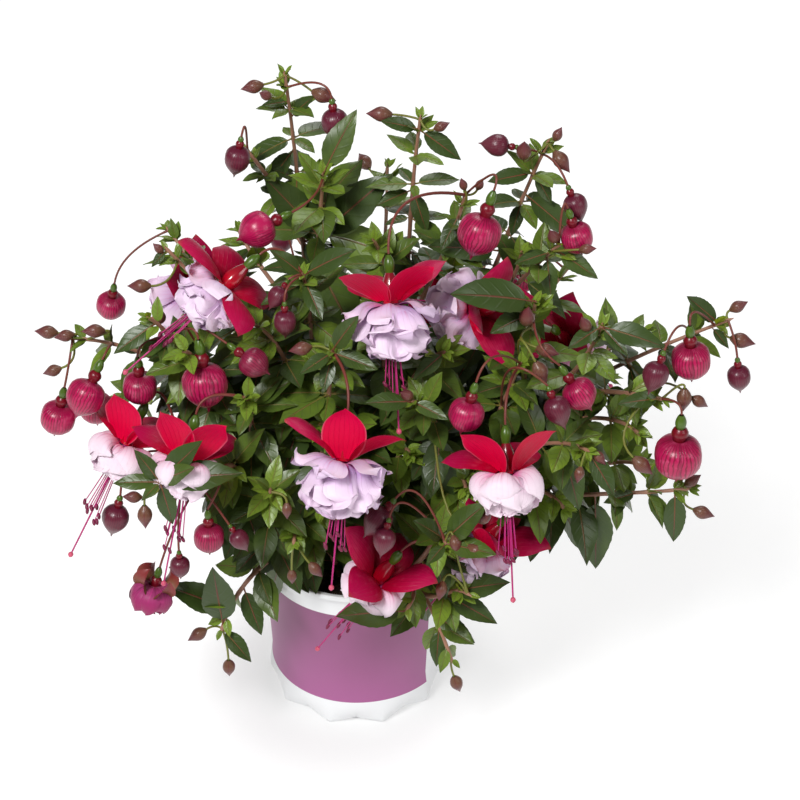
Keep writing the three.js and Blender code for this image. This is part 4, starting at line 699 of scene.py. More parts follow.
def leaf_plan(shoot, station, hand, bent, mix=0):
    """One leaf of a pair, as in the source of the solids. `mix` gives other draws."""
    yaw, droop, scale = bent
    pair = station["k"]

    def chance(k):
        return draw(shoot["index"] + 1 + mix, pair * 2 + (2 if hand > 0 else 1), k)

    angle = (shoot["turn"] + 90 * pair + yaw + 22 * (chance(1) - 0.5)) * DEGREE
    tangent = station["tangent"]
    radial = outward(across(tangent), angle) * hand
    row = min(pair, len(PAIR_AT) - 1)
    rise = (PAIR_RISE[row] + 14 * (chance(2) - 0.5)) * DEGREE
    way = radial * math.cos(rise) + tangent * math.sin(rise)
    way.z -= PAIR_DROOP[row] * (0.7 + 0.6 * chance(3)) + droop
    light = tangent * 0.5 + UP * 0.8
    light.y -= 0.15
    length = PAIR_LENGTH[row] * shoot["leaf"] * scale * (0.88 + 0.24 * chance(4))
    age = min(1, (pair + 0.3) / 5.5)
    return leaf_of(station["p"], way, light, length, 0.1 + 0.22 * chance(5), age, chance(6))


def on_leaf(leaf, share):
    """The middle of the leaf at a share of its length, and the normal there."""
    centre = leaf.foot + leaf.way * (leaf.length * share)
    centre -= leaf.normal * (leaf.arch * leaf.length * share * share)
    return centre, (leaf.normal + leaf.way * (2 * leaf.arch * share)).normalized()


def add_leaf(pile, leaf, stem_radius):
    """A toothed, waved and puckered blade on its petiole, which runs on below as the midrib."""
    length, chance = leaf.length, leaf.chance
    rows = 18 if length > LARGE_LEAF else 10
    blade = np.linspace(0, 1, rows) ** 1.1
    shares = LEAF_PETIOLE + (1 - LEAF_PETIOLE) * blade
    columns = [-1, -0.82, -0.48, -0.1, 0, 0.1, 0.48, 0.82, 1]
    middles = [on_leaf(leaf, share) for share in shares]
    centres, normals = (np.array(column)[:, None] for column in zip(*middles))
    half = (length * leaf.slim * LEAF_WIDTH / 2 * 3.247 * blade**0.7 * (1 - blade) ** 1.05)[:, None]
    tooth = np.where(np.arange(rows) % 2 == 0, 1.0, 0.96)
    tooth[[0, 1, -2, -1]] = 1
    along, side = np.meshgrid(shares, columns, indexing="ij")
    away = np.abs(side)
    width = half * side * np.where(away == 1, tooth[:, None], 1)
    # puckers between the veins, a waved edge, halves that rise from a trough at the midrib, a slight twist
    lift = 0.021 * length * np.cos(TURN * (along * 6.5 - 1.3 * away)) * away * (1 - away)
    wave = np.sin(8.5 * along + 6.28 * chance + 1.6 * np.sign(side))
    lift += 0.035 * length * wave * side**2 * (1 - along) ** 0.3 * along**0.5
    lift += (0.02 + 0.2 * chance) * half * away**1.3 - 0.3 * np.exp(-((side / 0.1) ** 2))
    lift += 0.22 * (chance - 0.5) * width * along
    points = centres + width[..., None] * np.array(leaf.side) + lift[..., None] * normals
    pile.grid(points, facts_of(along, side, 0.62 * leaf.age + 0.3 * chance), LEAF_SKIN, flip=True)
    rib = [on_leaf(leaf, share) for share in (0.07, 0.13, 0.2, 0.35, 0.55, 0.75)]
    petiole = [leaf.foot + leaf.way * (stem_radius * 0.5), *(centre - normal * 0.3 for centre, normal in rib)]
    radii = np.array([0.85, 0.62, 0.55, 0.5, 0.4, 0.3, 0.15]) * min(1, length / 26)
    pile.tube(petiole, radii, 4, STALK_SKIN, (0.6 * leaf.age, 0, chance))


def facts_of(along, side, value):
    return np.stack([along, side, np.full_like(along, value)], axis=-1)


for shoot in shoots.values():
    pile = pile_of(shoot["node"])
    for station in shoot["stations"]:
        if not 0 <= station["k"] < shoot["pairs"]:
            continue
        for hand in (1, -1):
            leaves = (leaf_plan(shoot, station, hand, bent) for bent in TRIES)
            leaf = next((leaf for leaf in leaves if miss(shoot["node"], [on_leaf(leaf, 1)[0]]) < CLOSE), None)
            if leaf:
                add_leaf(pile, leaf, station["radius"])


# Petals


def axes_of(item):
    """A flower's axis, and two directions square to it."""
    axis = Vector(item["way"]).normalized()
    front = across(axis)[0]
    return axis, (front, axis.cross(front))


def add_petal(pile, origin, axes, turn, start, angles, length, width, skin, chance, cup, ruffle=0, twist=0):
    """A sepal or petal. `angles` are those of its middle line above square to the axis, from foot to tip."""
    axis, pair = axes
    out = outward(pair, turn)
    edge = np.array(axis.cross(out))
    out, axis = np.array(out), np.array(axis)
    rows, columns = (20, 13) if ruffle else (18, 11)
    share = 1 - (1 - np.linspace(0, 1, rows)) ** 1.35
    angle = smooth(np.linspace(0, 1, len(angles)), angles, share)[:, None] * DEGREE
    ways = np.cos(angle) * out - np.sin(angle) * axis
    steps = np.diff(share, prepend=0)[:, None] * length
    centres = np.array(origin) + out * start[0] + axis * start[1] + np.cumsum(ways * steps, axis=0)
    normals = np.cross(edge, ways)
    half = width(share)[:, None]
    along, side = np.meshgrid(share, np.linspace(-1, 1, columns), indexing="ij")
    lift = -cup * half * side**2
    phase = chance * 6.28
    if ruffle:
        fold = np.sin(side * 2.9 + phase) + 0.4 * np.sin(side * 6.2 + 2.1 * phase)
        fold += 0.12 * np.sin(side * 12 + 3 * phase)
        lift += ruffle * (fold * along**1.3 + 0.25 * np.sin(7 * along + 3 * side + phase) * along)
    else:
        lift += 0.02 * length * np.sin(6 * along + phase) * side * along
        lift += 0.3 * np.exp(-((side / 0.14) ** 2)) * (1 - along)
    turned, straight = np.sin(twist * share)[:, None], np.cos(twist * share)[:, None]
    edges, normals = edge * straight + normals * turned, normals * straight - edge * turned
    points = centres[:, None] + (half * side)[..., None] * edges[:, None] + lift[..., None] * normals[:, None]
    if ruffle:
        rim = 0.04 * length * np.sin(side * 3.6 + chance * 20) * np.clip((along - 0.6) / 0.4, 0, 1)
        points += rim[..., None] * ways[:, None]
    pile.grid(points, facts_of(along, side, chance), skin)


def sepal_width(share):
    places, halves = [0, 0.1, 0.25, 0.45, 0.62, 0.78, 0.9, 1], [0.46, 0.72, 0.95, 1.0, 0.9, 0.62, 0.3, 0.02]
    return SEPAL_WIDTH / 2 * smooth(places, halves, share)


def petal_width(share):
    places, halves = [0, 0.2, 0.45, 0.7, 0.85, 0.94, 0.98, 1], [0.22, 0.5, 0.85, 1.05, 1.0, 0.78, 0.48, 0.14]
    return PETAL_WIDTH / 2 * smooth(places, halves, share)


def broadside(axes, turn, angle, most):
    """The twist, in radians and up to `most`, that turns a sepal's broad side to the photograph's viewer."""
    axis, pair = axes
    out = outward(pair, turn)
    side = axis.cross(out)
    normal = side.cross(out * math.cos(angle) - axis * math.sin(angle))
    twist = math.atan2(-side.dot(VIEWER), normal.dot(VIEWER))
    if abs(twist) > math.pi / 2:
        twist -= math.copysign(math.pi, twist)
    return max(-most, min(most, twist))


# Buds


def bud_measures(size):
    """A bud's half length, from its top to its stalk, and from its middle to its point."""
    if size < SMALL_BUD:
        return 0.85 * size, 0, 0.85 * size
    half, neck = (0.46, LOOSE_NECK) if size >= LOOSE_BUD else (0.56, 0.5)
    return half * size, neck * size, 1.2 * half * size


def add_neck(pile, top, way, size, length, radii, chance):
    """The glossy tube above a flower or bud, and the ovary above the tube."""
    below = size * np.array([0.03, -0.03, -0.1, -0.18, -0.25, -0.3])
    pile.tube(line(top, way, below), size * np.array(radii), 16, BUD_SKIN, (0.25, 0.5, chance))
    thick = size * np.array([0.07, 0.1, 0.115, 0.12, 0.115, 0.1, 0.08, 0.05])
    ovary = line(top, way, -np.linspace(0.27 * size, length, 8))
    pile.tube(ovary, np.maximum(thick, PEDICEL_RADIUS), 12, OVARY_SKIN, (0, 0, chance))


def add_bud(pile, middle, way, size, chance):
    """A bud: four closed sepals, with an ovary and a tube if it is large."""
    small, loose = size < SMALL_BUD, size >= LOOSE_BUD
    half, neck, _ = bud_measures(size)
    if small:
        kind = 0.0
        along = np.linspace(-1, 1, 13)
        radii = np.array([0.28, 0.5, 0.72, 0.88, 0.97, 1.0, 0.96, 0.86, 0.7, 0.52, 0.34, 0.17, 0.02])
    else:
        kind = min(1, 0.72 + 0.07 * (size - LOOSE_BUD)) if loose else 0.5
        along = np.array([-1.0, -0.97, -0.88, -0.72, -0.5, -0.25, 0, 0.25, 0.5, 0.72, 0.92, 1.06, 1.2, 1.42])
        radii = np.array([0.28, 0.4, 0.62, 0.82, 0.95, 0.995, 1.0, 0.97, 0.87, 0.7, 0.48, 0.26, 0.09, 0.02])
        if not loose:
            radii *= np.array([1, 1, 0.98, 0.98, 1, 1, 0.99, 0.95, 0.88, 0.82, 0.8, 0.85, 1, 1])
    shares = np.linspace(0, 1, len(along))
    mass = np.sin(math.pi * shares) ** 0.7

    def lobes(i, angles):
        """Seams between the four sepals, and slight ribs."""
        return 1 - mass[i] * (0.05 * np.abs(np.cos(2 * angles)) ** 14 - 0.008 * np.cos(12 * angles))

    facts = [(kind, share, chance) for share in shares]
    sides = 20 if small else 40
    centres = line(middle, way, half * along)
    pile.tube(centres, size * 0.5 * radii, sides, BUD_SKIN, facts, lobes, closing=True)
    if not small:
        slim = 1 if loose else 0.95
        tube = slim * np.array([0.135, 0.125, 0.165, 0.18, 0.15, 0.1])
        add_neck(pile, middle - way * half, way, size, neck, tube, chance)


def add_spent(pile, middle, way, size):
    """A fading flower, closed again: crumpled petals under four short curled sepals, on a tube and ovary."""
    axes = axes_of({"way": way})
    half, neck, _ = bud_measures(size)
    top = middle - way * half
    add_neck(pile, top, way, size, neck, [0.15, 0.14, 0.165, 0.18, 0.15, 0.1], 0.3)
    for k in range(9):
        turn = (40 * k + 15 * draw(k, 3, 5)) * DEGREE
        closing = [70 * draw(k, 1, 8) - 20, -25, -88, -130]
        add_petal(pile, top, axes, turn, (1.5, 0), closing, 1.2 * size, lambda x: 0.7 * petal_width(x),
                  SPENT_SKIN, draw(k, 2, 6), ruffle=1.0, cup=0.4)
    for k in range(4):
        lift = 20 + 60 * draw(k, 4, 4)
        add_petal(pile, top, axes, 90 * k * DEGREE, (2, 0.5), [-30, lift, 2 * lift], 0.95 * size,
                  lambda x: 0.5 * sepal_width(x), FADED_SKIN, draw(k, 4, 6), cup=0.5)


def add_stalk(item, way, end, pieces, count, radii, age, chance):
    """The stalk that the solid has, by the first ring of its corners, with its number of pieces."""
    shoot = shoots[item["on"]]
    ways = []
    for bow in BOWS:
        for station in shoot["stations"][1:-1]:
            if not station["bears"]:
                continue
            start = station["p"]
            reach = (end - start).length
            curve = Curve(start, end - way * 0.55 * reach + across(way)[0] * bow * reach, end)
            first, second = curve.point(1 / pieces), curve.point(2 / pieces)
            ring = ring_points(first, across((second - start).normalized()), PEDICEL_RADIUS)
            ways.append((miss(shoot["node"], ring), curve))
    (curve,) = best_of(ways)
    pile_of(shoot["node"]).tube(curve.points(count), radii, 7, STALK_SKIN, (age, 0, chance))


# Balls in which, and in front of which, no leaf is added
kept_clear = []
loose_count = 0
for i, bud in enumerate(BUDS):
    size = bud["size"]
    way = Vector(bud["way"]).normalized()
    small, loose = size < SMALL_BUD, size >= LOOSE_BUD
    loose_count += loose
    node = f"bud_{loose_count:02d}" if loose else shoots[bud["on"]]["node"]
    half, neck, point = bud_measures(size)
    middle = settled(bud, node, way * point)
    end = middle - way * (half + neck + (1.5 * GAP if loose else 0))
    count = 8 if small else 14
    radii = [1.0, *[0.7] * count]
    add_stalk(bud, way, end, 2 if small else 3, count, radii, 0.25 if small else 0.7, draw(i, 1, 1))
    kept_clear.append((middle, (0.62 if loose else 0.5) * size))
    if i == SPENT:
        add_spent(pile_of(node), middle, way, size)
    else:
        add_bud(pile_of(node), middle, way, size, draw(i, 5, 7))


# Flowers

CALYX_SKIN, TUBE_SKIN, THREAD_SKIN, ANTHER_SKIN, STIGMA_SKIN, BASE_SKIN = range(6)


def add_thread(pile, origin, axes, turn, reach, spread, radius, anther):
    """A stamen with its anther, or the pistil with its stigma."""
    axis, pair = axes
    out = outward(pair, turn * DEGREE)
    points = []
    for share in np.linspace(0, 1, 13):
        points.append(origin + axis * (-3 + (reach + 3) * share) + out * (0.8 + (spread - 0.8) * share))
    pile.tube(points, np.linspace(radius, radius * 0.8, 13), 6, THREAD_SKIN, (0, 0, turn / 360))
    way = (points[-1] - points[-2]).normalized()
    shares = np.linspace(-0.5, 0.5, 9)
    if anther:
        lean = (way * 0.8 + across(way)[0] * 0.6).normalized()
        pile.tube(line(points[-1], lean, 4.2 * shares), 1.05 * oval(shares), 8, ANTHER_SKIN, (0, 0, 0))
    else:
        centres = line(points[-1], way, 3.4 * (shares - 0.5))
        pile.tube(centres, 1.55 * oval(shares), 10, STIGMA_SKIN, (0, 0, 0))


def add_calyx(pile, bloom, number, origin, axes):
    """The ovary, the tube, the four sepals, the pistil and the stamens."""
    axis = axes[0]
    along = np.linspace(-(TUBE + OVARY), -TUBE + 0.5, 10)
    radii = smooth([0, 0.2, 0.45, 0.75, 1], [1.1, 2.4, 3.0, 2.7, 2.0], np.linspace(0, 1, 10))
    pile.tube(line(origin, axis, along), radii, 16, BASE_SKIN, (0, 0, 0))
    along = np.linspace(-TUBE, 0, 16)
    radii = smooth([-17, -14, -10, -6, -3, 0], [2.3, 3.6, 4.7, 5.0, 4.5, 4.2], along)
    pile.tube(line(origin, axis, along), radii, 24, TUBE_SKIN, [(0, k / 15, 0) for k in range(16)],
              lambda k, angles: 1 + 0.035 * np.cos(8 * angles))
    for k, (turn, lift) in enumerate(bloom["sepals"]):
        chance = draw(number, k + 1, 9)
        steep = min(lift + 37, 90)
        bends = [min(steep, 76), *(steep + (lift - 18 - steep) * share for share in (0.4, 0.82, 1.15))]
        bends[3] -= 22 * chance
        twist = broadside(axes, turn * DEGREE, lift * DEGREE, 0.5)
        add_petal(pile, origin, axes, turn * DEGREE, (4.2, -1.6), bends, SEPAL, sepal_width, CALYX_SKIN,
                  chance, cup=0.2, twist=twist)
    add_thread(pile, origin, axes, 60, PISTIL, 1.5, 0.62, False)
    for k in range(STAMENS):
        reach = STAMEN * (0.86 + 0.26 * draw(number, k + 1, 12))
        spread = 3 + 4.5 * draw(number, k, 13)
        add_thread(pile, origin, axes, 20 + 360 / STAMENS * k, reach, spread, 0.38, True)


def add_corolla(pile, bloom, number, origin, axes):
    """The petals, in layers from the outside in."""
    layers, loose = (RUFFLED, 1) if number in LILAC else (ROUND, 0.45)
    for layer, (count, reach, wide, first, turn0, angles, ruffle, cup) in enumerate(layers):
        for k in range(count):
            chance = draw(number, k + 1, 20 + layer)
            turn = (turn0 + 360 * k / count + 14 * (chance - 0.5)) * DEGREE
            sway = 34 * loose * (draw(number + 2, k + 2, layer) - 0.5)
            bends = [angle + sway * share for angle, share in zip(angles, (0.3, 0.8, 1, 1.4))]
            length = reach * (0.9 + 0.16 * loose * chance) * bloom["petals"]
            add_petal(pile, origin, axes, turn, (first, 1.0 + 0.3 * layer), bends, length,
                      lambda x, wide=wide: wide * petal_width(x), 0, chance, ruffle=ruffle, cup=cup,
                      twist=1.3 * loose * (draw(number + 4, k + 1, layer) - 0.5))


for i, bloom in enumerate(BLOOMS):
    number = i + 1
    name = f"bloom_{number:02d}"
    axis, pair = axes = axes_of(bloom)
    stigma = axis * PISTIL + outward(pair, 60 * DEGREE) * 1.5
    origin = settled(bloom, f"{name}_calyx", stigma)
    end = origin - axis * (TUBE + OVARY + 1.5 * GAP)
    add_stalk(bloom, axis, end, 3, 18, np.linspace(1.0, 0.72, 19), 0.9, draw(i, 2, 2))
    add_calyx(pile_of(f"{name}_calyx"), bloom, number, origin, axes)
    add_corolla(pile_of(f"{name}_corolla"), bloom, number, origin, axes)
    if number in BEHIND_LEAVES:
        kept_clear.append((origin, 14))
    else:
        kept_clear += [(origin + axis * 12, 30), (origin - axis * 6, 24)]


# More leaves than the solids have: the ones that stand out in the photograph, and those in the leaf axils
# and down the stems, for the bush's depth

ball_gaps = np.array([middle for middle, _ in kept_clear]) - np.array(CAMERA_AT)
ball_radii = np.array([radius for _, radius in kept_clear])


def in_the_way(leaf):
    """Whether a leaf would touch the pot or the soil, or hide a flower or bud."""
    for share in (0.3, 0.6, 1):
        middle, _ = on_leaf(leaf, share)
        for sign in (-1, 1) if share < 1 else (0,):
            point = middle + leaf.side * (0.2 * leaf.length * sign)
            if point.z < POT_HEIGHT + 1 and math.hypot(point.x, point.y) > RIM_RADIUS - 10:
                return True
            if point.z < SOIL_TOP + 5:
                return True
            ray = point - CAMERA_AT
            far = ray.length
            along = ball_gaps @ np.array(ray / far)
            beside = np.linalg.norm(ball_gaps - along[:, None] * np.array(ray / far), axis=1)
            if np.any((beside < ball_radii) & (far < along + 0.6 * ball_radii)):
                return True
    return False


for name, (on, share, pixel, forward) in SPRIGS.items():
    start = shoots[on]["curve"].point_at(share)
    tip = sighted(pixel, -start.y + forward)
    curve = Curve(start, start.lerp(tip, 0.5) - UP * 5, tip)
    radii = np.linspace(1.3, 0.8, 13)
    pile_of(shoots[on]["node"]).tube(curve.points(12), radii, 7, STEM_SKIN, (0.6, 0, 0.5))
    shoots[name] = dict(shoots[on], curve=curve, pairs=0, stations=[])

leaves = [(on, *row) for on, rows in PLACED.items() for row in rows]
for i, (on, *ends, forward, roll) in enumerate(leaves):
    foot, tip = Vector(ends[:2]), ends[2:]
    places = [shoots[on]["curve"].point_at(share / 60) for share in range(12, 60)]
    root = min(places, key=lambda place: (seen_at(place) - foot).length)
    way = sighted(tip, -root.y + forward) - root
    arch, age = 0.08 + 0.14 * draw(i, 3, 1), 0.86 + 0.14 * draw(i, 3, 2)
    light = VIEWER * 0.75 + UP * 0.55
    leaf = leaf_of(root, way, light, way.length, arch, age, draw(i, 3, 3), roll * DEGREE, 0.84)
    add_leaf(pile_of(shoots[on]["node"]), leaf, 1.2)


def lower_stations(shoot):
    """Places for leaf pairs below the ones that the solid shoot bears."""
    curve = shoot["curve"]
    places = []
    for k, below in pairs_down(shoot, curve.length, 14, shoot["pairs"]):
        share = 1 - below / curve.length
        ahead = curve.point_at(min(1, share + 0.03)) - curve.point_at(max(0, share - 0.03))
        radius = shoot["stations"][0]["radius"] * (1 - share) + STEM_TIP_RADIUS * share
        places.append({"k": k, "p": curve.point_at(share), "radius": radius, "tangent": ahead.normalized()})
    return places


# The rows of pixels above which the bush is thin and below which it is thick
THIN_ROW, THICK_ROW = 170, 320


def more_leaves(shoot, station, hand):
    """How each added leaf at one side of a station is bent, and its draws."""
    k = station["k"]

    def chance(which):
        return draw(shoot["index"] + 40, k * 2 + (hand > 0), which)

    thick = min(1, max(0.0, (seen_at(station["p"]).y - THIN_ROW) / (THICK_ROW - THIN_ROW)))
    if k >= shoot["pairs"]:
        yield (0, 0.15 * chance(1), 0.95), 0
        yield (90, 0.25 * chance(9), 0.8), 300
    if k <= 7:
        size = (0.55 + 0.3 * chance(2)) * (0.7 + 0.3 * thick)
        yield (90 + 30 * (chance(3) - 0.5), -0.15 + 0.3 * chance(4), size), 100
    if k <= 2:
        yield (45, 0.2 * chance(9), 0.9), 400
    if k >= 2 and thick > 0.5 and chance(5) < 0.75:
        yield (45 + 40 * (chance(7) - 0.5), 0.3 * chance(8) - 0.2, 0.7 + 0.35 * chance(6)), 200


for shoot in shoots.values():
    bearing = [station for station in shoot["stations"] if 0 <= station["k"] < shoot["pairs"]]
    for station in bearing + (lower_stations(shoot) if bearing else []):
        for hand in (1, -1):
            for bent, mix in more_leaves(shoot, station, hand):
                leaf = leaf_plan(shoot, station, hand, bent, mix)
                if leaf.length > 7 and not in_the_way(leaf):
                    add_leaf(pile_of(shoot["node"]), leaf, station["radius"])


# Materials


class Value:
    """A number or colour in a material's nodes. Arithmetic with a number adds more nodes."""

    def __init__(self, tree, socket):
        self.tree, self.socket = tree, socket

    def math(self, operation, other=0.0):
        node = self.tree.nodes.new("ShaderNodeMath")
        node.operation = operation
        put(self.tree, node.inputs[0], self)
        put(self.tree, node.inputs[1], other)
        return Value(self.tree, node.outputs[0])

    def __add__(self, other):
        return self.math("ADD", other)

    def __sub__(self, other):
        return self.math("SUBTRACT", other)

    def __rsub__(self, other):
        return (self - other) * -1.0

    def __mul__(self, other):
        return self.math("MULTIPLY", other)

    def __pow__(self, other):
        return self.math("POWER", other)

    def __abs__(self):
        return self.math("ABSOLUTE")

    def ramp(self, low, high):
        """From 0 at `low` to 1 at `high`, smoothly."""
        node = self.tree.nodes.new("ShaderNodeMapRange")
        node.interpolation_type = "SMOOTHSTEP"
        put(self.tree, node.inputs["Value"], self)
        node.inputs["From Min"].default_value = low
        node.inputs["From Max"].default_value = high
        return Value(self.tree, node.outputs["Result"])


def put(tree, socket, value):
    """Link a value to a socket, or set the socket to a number or colour."""
    if isinstance(value, Value):
        tree.links.new(value.socket, socket)
    elif isinstance(value, tuple):
        socket.default_value = (*value, 1)
    else:
        socket.default_value = value


class Shader:
    """A new material with one principled surface, and what its nodes are made with."""

    def __init__(self, name, roughness, **sockets):
        self.material = bpy.data.materials.new(name)
        self.material.use_nodes = True
        self.tree = self.material.node_tree
        self.sockets = self.tree.nodes["Principled BSDF"].inputs
        self.sockets["Roughness"].default_value = roughness
        for socket, value in sockets.items():
            self.sockets[socket.replace("_", " ")].default_value = value

    def split(self, vector):
        node = self.tree.nodes.new("ShaderNodeSeparateXYZ")
        self.tree.links.new(vector, node.inputs[0])
        return [Value(self.tree, socket) for socket in node.outputs]

    def facts(self):
        """The three numbers that a mesh has at each point."""
        node = self.tree.nodes.new("ShaderNodeAttribute")
        node.attribute_name = "facts"
        return self.split(node.outputs["Vector"])

    def place(self):
        return self.tree.nodes.new("ShaderNodeTexCoord").outputs["Object"]

    def noise(self, scale, detail):
        node = self.tree.nodes.new("ShaderNodeTexNoise")
        self.tree.links.new(self.place(), node.inputs["Vector"])
        node.inputs["Scale"].default_value = scale
        node.inputs["Detail"].default_value = detail
        return Value(self.tree, node.outputs["Fac"])

    def back(self):
        """1 at the back of a face and 0 at its front."""
        return Value(self.tree, self.tree.nodes.new("ShaderNodeNewGeometry").outputs["Backfacing"])

    def mix(self, share, a, b):
        node = self.tree.nodes.new("ShaderNodeMix")
        node.data_type = "RGBA"
        for socket, value in ((0, share), (6, a), (7, b)):
            put(self.tree, node.inputs[socket], value)
        return Value(self.tree, node.outputs[2])

    def layers(self, colour, *layers):
        """A colour with others laid over it in turn, each by its own share."""
        for share, over in layers:
            colour = self.mix(share, colour, over)
        return colour

    def bump(self, height, distance, strength):
        node = self.tree.nodes.new("ShaderNodeBump")
        node.inputs["Distance"].default_value = distance
        node.inputs["Strength"].default_value = strength
        put(self.tree, node.inputs["Height"], height)
        self.tree.links.new(node.outputs["Normal"], self.sockets["Normal"])

    def done(self, colour):
        put(self.tree, self.sockets["Base Color"], colour)
        return self.material


def leaf_material():
    skin = Shader("leaf", 0.35, Specular_IOR_Level=0.38)
    along, side, mood = skin.facts()
    away = abs(side)
    # side veins run out and forward from the midrib
    phase = (along - away * 0.2) * 6.5
    vein = abs(phase.math("FRACT") - 0.5)
    vein = (1 - vein.ramp(0.02, 0.16)) * (1 - away.ramp(0.55, 0.95))
    rib = 1 - away.ramp(0.02, 0.085)
    blotch = skin.noise(90, 4)
    age = (mood + blotch * 0.25).ramp(0.27, 0.83)
    # near the midrib an older leaf is darker and browner
    top = skin.layers(
        skin.mix(age, (0.42, 0.54, 0.016), (0.04, 0.059, 0.005)),
        (blotch.ramp(0.42, 0.7) * (age * 0.45), (0.04, 0.05, 0.012)),
        ((1 - away.ramp(0.05, 0.5)) * (age * 0.5), (0.03, 0.03, 0.008)),
        (vein * 0.25, (0.03, 0.035, 0.01)),
        (rib * 0.75, (0.09, 0.03, 0.02)),
        (away.ramp(0.93, 1.0) * 0.3, (0.09, 0.13, 0.04)),
    )
    under = skin.layers(
        skin.mix(age, (0.17, 0.26, 0.024), (0.038, 0.066, 0.013)),
        (vein * 0.3, (0.05, 0.075, 0.02)),
        (rib * 0.8, (0.12, 0.045, 0.03)),
    )
    skin.bump(blotch * 0.3 - (vein * 0.4).math("MAXIMUM", rib), 0.0004, 0.55)
    return skin.done(skin.mix(skin.back(), top, under))


def stem_material(name, young, old):
    skin = Shader(name, 0.45, Specular_IOR_Level=0.4)
    age, _, _ = skin.facts()
    streak = skin.noise(140, 3)
    skin.bump(streak, 0.0003, 0.5)
    return skin.done(skin.mix((age + streak * 0.4).ramp(0.25, 0.95), young, old))


def bud_material():
    """Kinds: 0 for a small bud, 0.25 for a tube, 0.5 for a middling bud and up to 1 for a large one."""
    skin = Shader("bud", 0.34, Specular_IOR_Level=0.4, Coat_Weight=0.1, Coat_Roughness=0.2)
    kind, along, around = skin.facts()
    fleck = skin.noise(220, 4)
    # dark lines run from end to end, with a darker seam between the four sepals
    phase = around * (17 * TURN) + skin.noise(110, 3) * 14.0
    lines = phase.math("SINE").ramp(0.2, 0.9) * skin.noise(45, 2).ramp(0.2, 0.5)
    seam = abs((around * TURN).math("COSINE")).ramp(0.98, 1.0)
    seam = seam * (abs(kind - 0.25).ramp(0.05, 0.1) * 0.45)
    band = along.ramp(0.0, 0.3) * (1 - along.ramp(0.7, 1.0))
    small = skin.mix(along.ramp(0.1, 0.95), (0.17, 0.075, 0.04), (0.15, 0.028, 0.035))
    small = skin.mix(lines * 0.7, small, (0.05, 0.012, 0.01))
    middle = skin.mix(along.ramp(0.0, 0.9), (0.11, 0.008, 0.026), (0.15, 0.028, 0.042))
    middle = skin.mix(lines * 0.55, middle, (0.06, 0.002, 0.018))
    large = skin.layers(
        skin.mix(band, (0.25, 0.003, 0.04), (0.42, 0.006, 0.075)),
        (fleck.ramp(0.48, 0.75) * 0.42, (0.6, 0.1, 0.21)),
        (lines * 0.85, (0.15, 0.0, 0.02)),
    )
    tube = (0.16, 0.002, 0.01)
    skin.bump(fleck * 0.4 - lines * 0.8, 0.0003, 0.4)
    return skin.done(skin.layers(
        small,
        (kind.ramp(0.02, 0.2), tube),
        (kind.ramp(0.3, 0.45), middle),
        (kind.ramp(0.6, 0.9), large),
        (seam, (0.12, 0.004, 0.025)),
    ))


def calyx_material():
    skin = Shader("calyx", 0.38, Specular_IOR_Level=0.15)
    along, side, _ = skin.facts()
    stripe = 1 - abs((side * 14.0).math("SINE")).ramp(0.0, 0.4)
    speck = skin.noise(260, 5)
    inner = skin.layers(
        skin.mix(along.ramp(0.0, 0.8), (0.66, 0.0, 0.04), (0.72, 0.0, 0.06)),
        (stripe * 0.2, (0.36, 0.0, 0.025)),
        (abs(side).ramp(0.9, 1.0) * 0.75, (0.68, 0.12, 0.2)),
    )
    outer = skin.layers(
        skin.mix(along.ramp(0.1, 0.9), (0.36, 0.0, 0.022), (0.42, 0.004, 0.06)),
        (speck.ramp(0.5, 0.75) * 0.3, (0.5, 0.045, 0.11)),
        (along.ramp(0.9, 1.0) * 0.5, (0.3, 0.08, 0.03)),
    )
    skin.bump(speck * 0.6 + stripe, 0.0004, 0.35)
    return skin.done(skin.mix(skin.back(), outer, inner))


def tube_material():
    skin = Shader("tube", 0.2, Specular_IOR_Level=0.55, Coat_Weight=0.5, Coat_Roughness=0.12)
    _, along, _ = skin.facts()
    return skin.done(skin.mix(along.ramp(0.0, 0.9), (0.22, 0.002, 0.012), (0.45, 0.0, 0.014)))


def ovary_material():
    skin = Shader("ovary", 0.3, Specular_IOR_Level=0.5)
    return skin.done(skin.mix(skin.noise(120, 3), (0.08, 0.15, 0.01), (0.045, 0.09, 0.01)))


def plain_material(name, colour, other, roughness):
    skin = Shader(name, roughness, Specular_IOR_Level=0.45)
    grain = skin.noise(300, 3)
    skin.bump(grain, 0.0002, 0.4)
    return skin.done(skin.mix(grain, colour, other))


def corolla_material(name, rim, middle, base):
    skin = Shader(name, 0.5, Specular_IOR_Level=0.3, Sheen_Weight=0.2, Sheen_Roughness=0.4)
    along, side, _ = skin.facts()
    cloud = skin.noise(45, 4)
    # magenta veins fan out from the petal's foot
    fan = side * 13.0 + cloud * 1.4
    vein = 1 - abs(fan.math("SINE")).ramp(0.0, 0.3)
    fade = 1 - along.ramp(0.12, 0.75)
    skin.bump(vein + skin.noise(180, 3), 0.0003, 0.4)
    return skin.done(skin.layers(
        # the inner part of each petal is a darker violet, partly its own colour and partly painted shade in
        # the folds, fading to the paler rim
        skin.mix((along + cloud * 0.35).ramp(0.3, 1.1), middle, rim),
        (vein * (fade * 0.7), (0.55, 0.03, 0.25)),
        # painted shade: the backs of the petals, seen where they roll, are darkened towards the middle colour
        (skin.back() * 0.35, middle),
        (1 - along.ramp(0.0, 0.36), base),
        ((1 - abs(side).ramp(0.0, 0.07)) * fade, (0.5, 0.02, 0.2)),
    ))


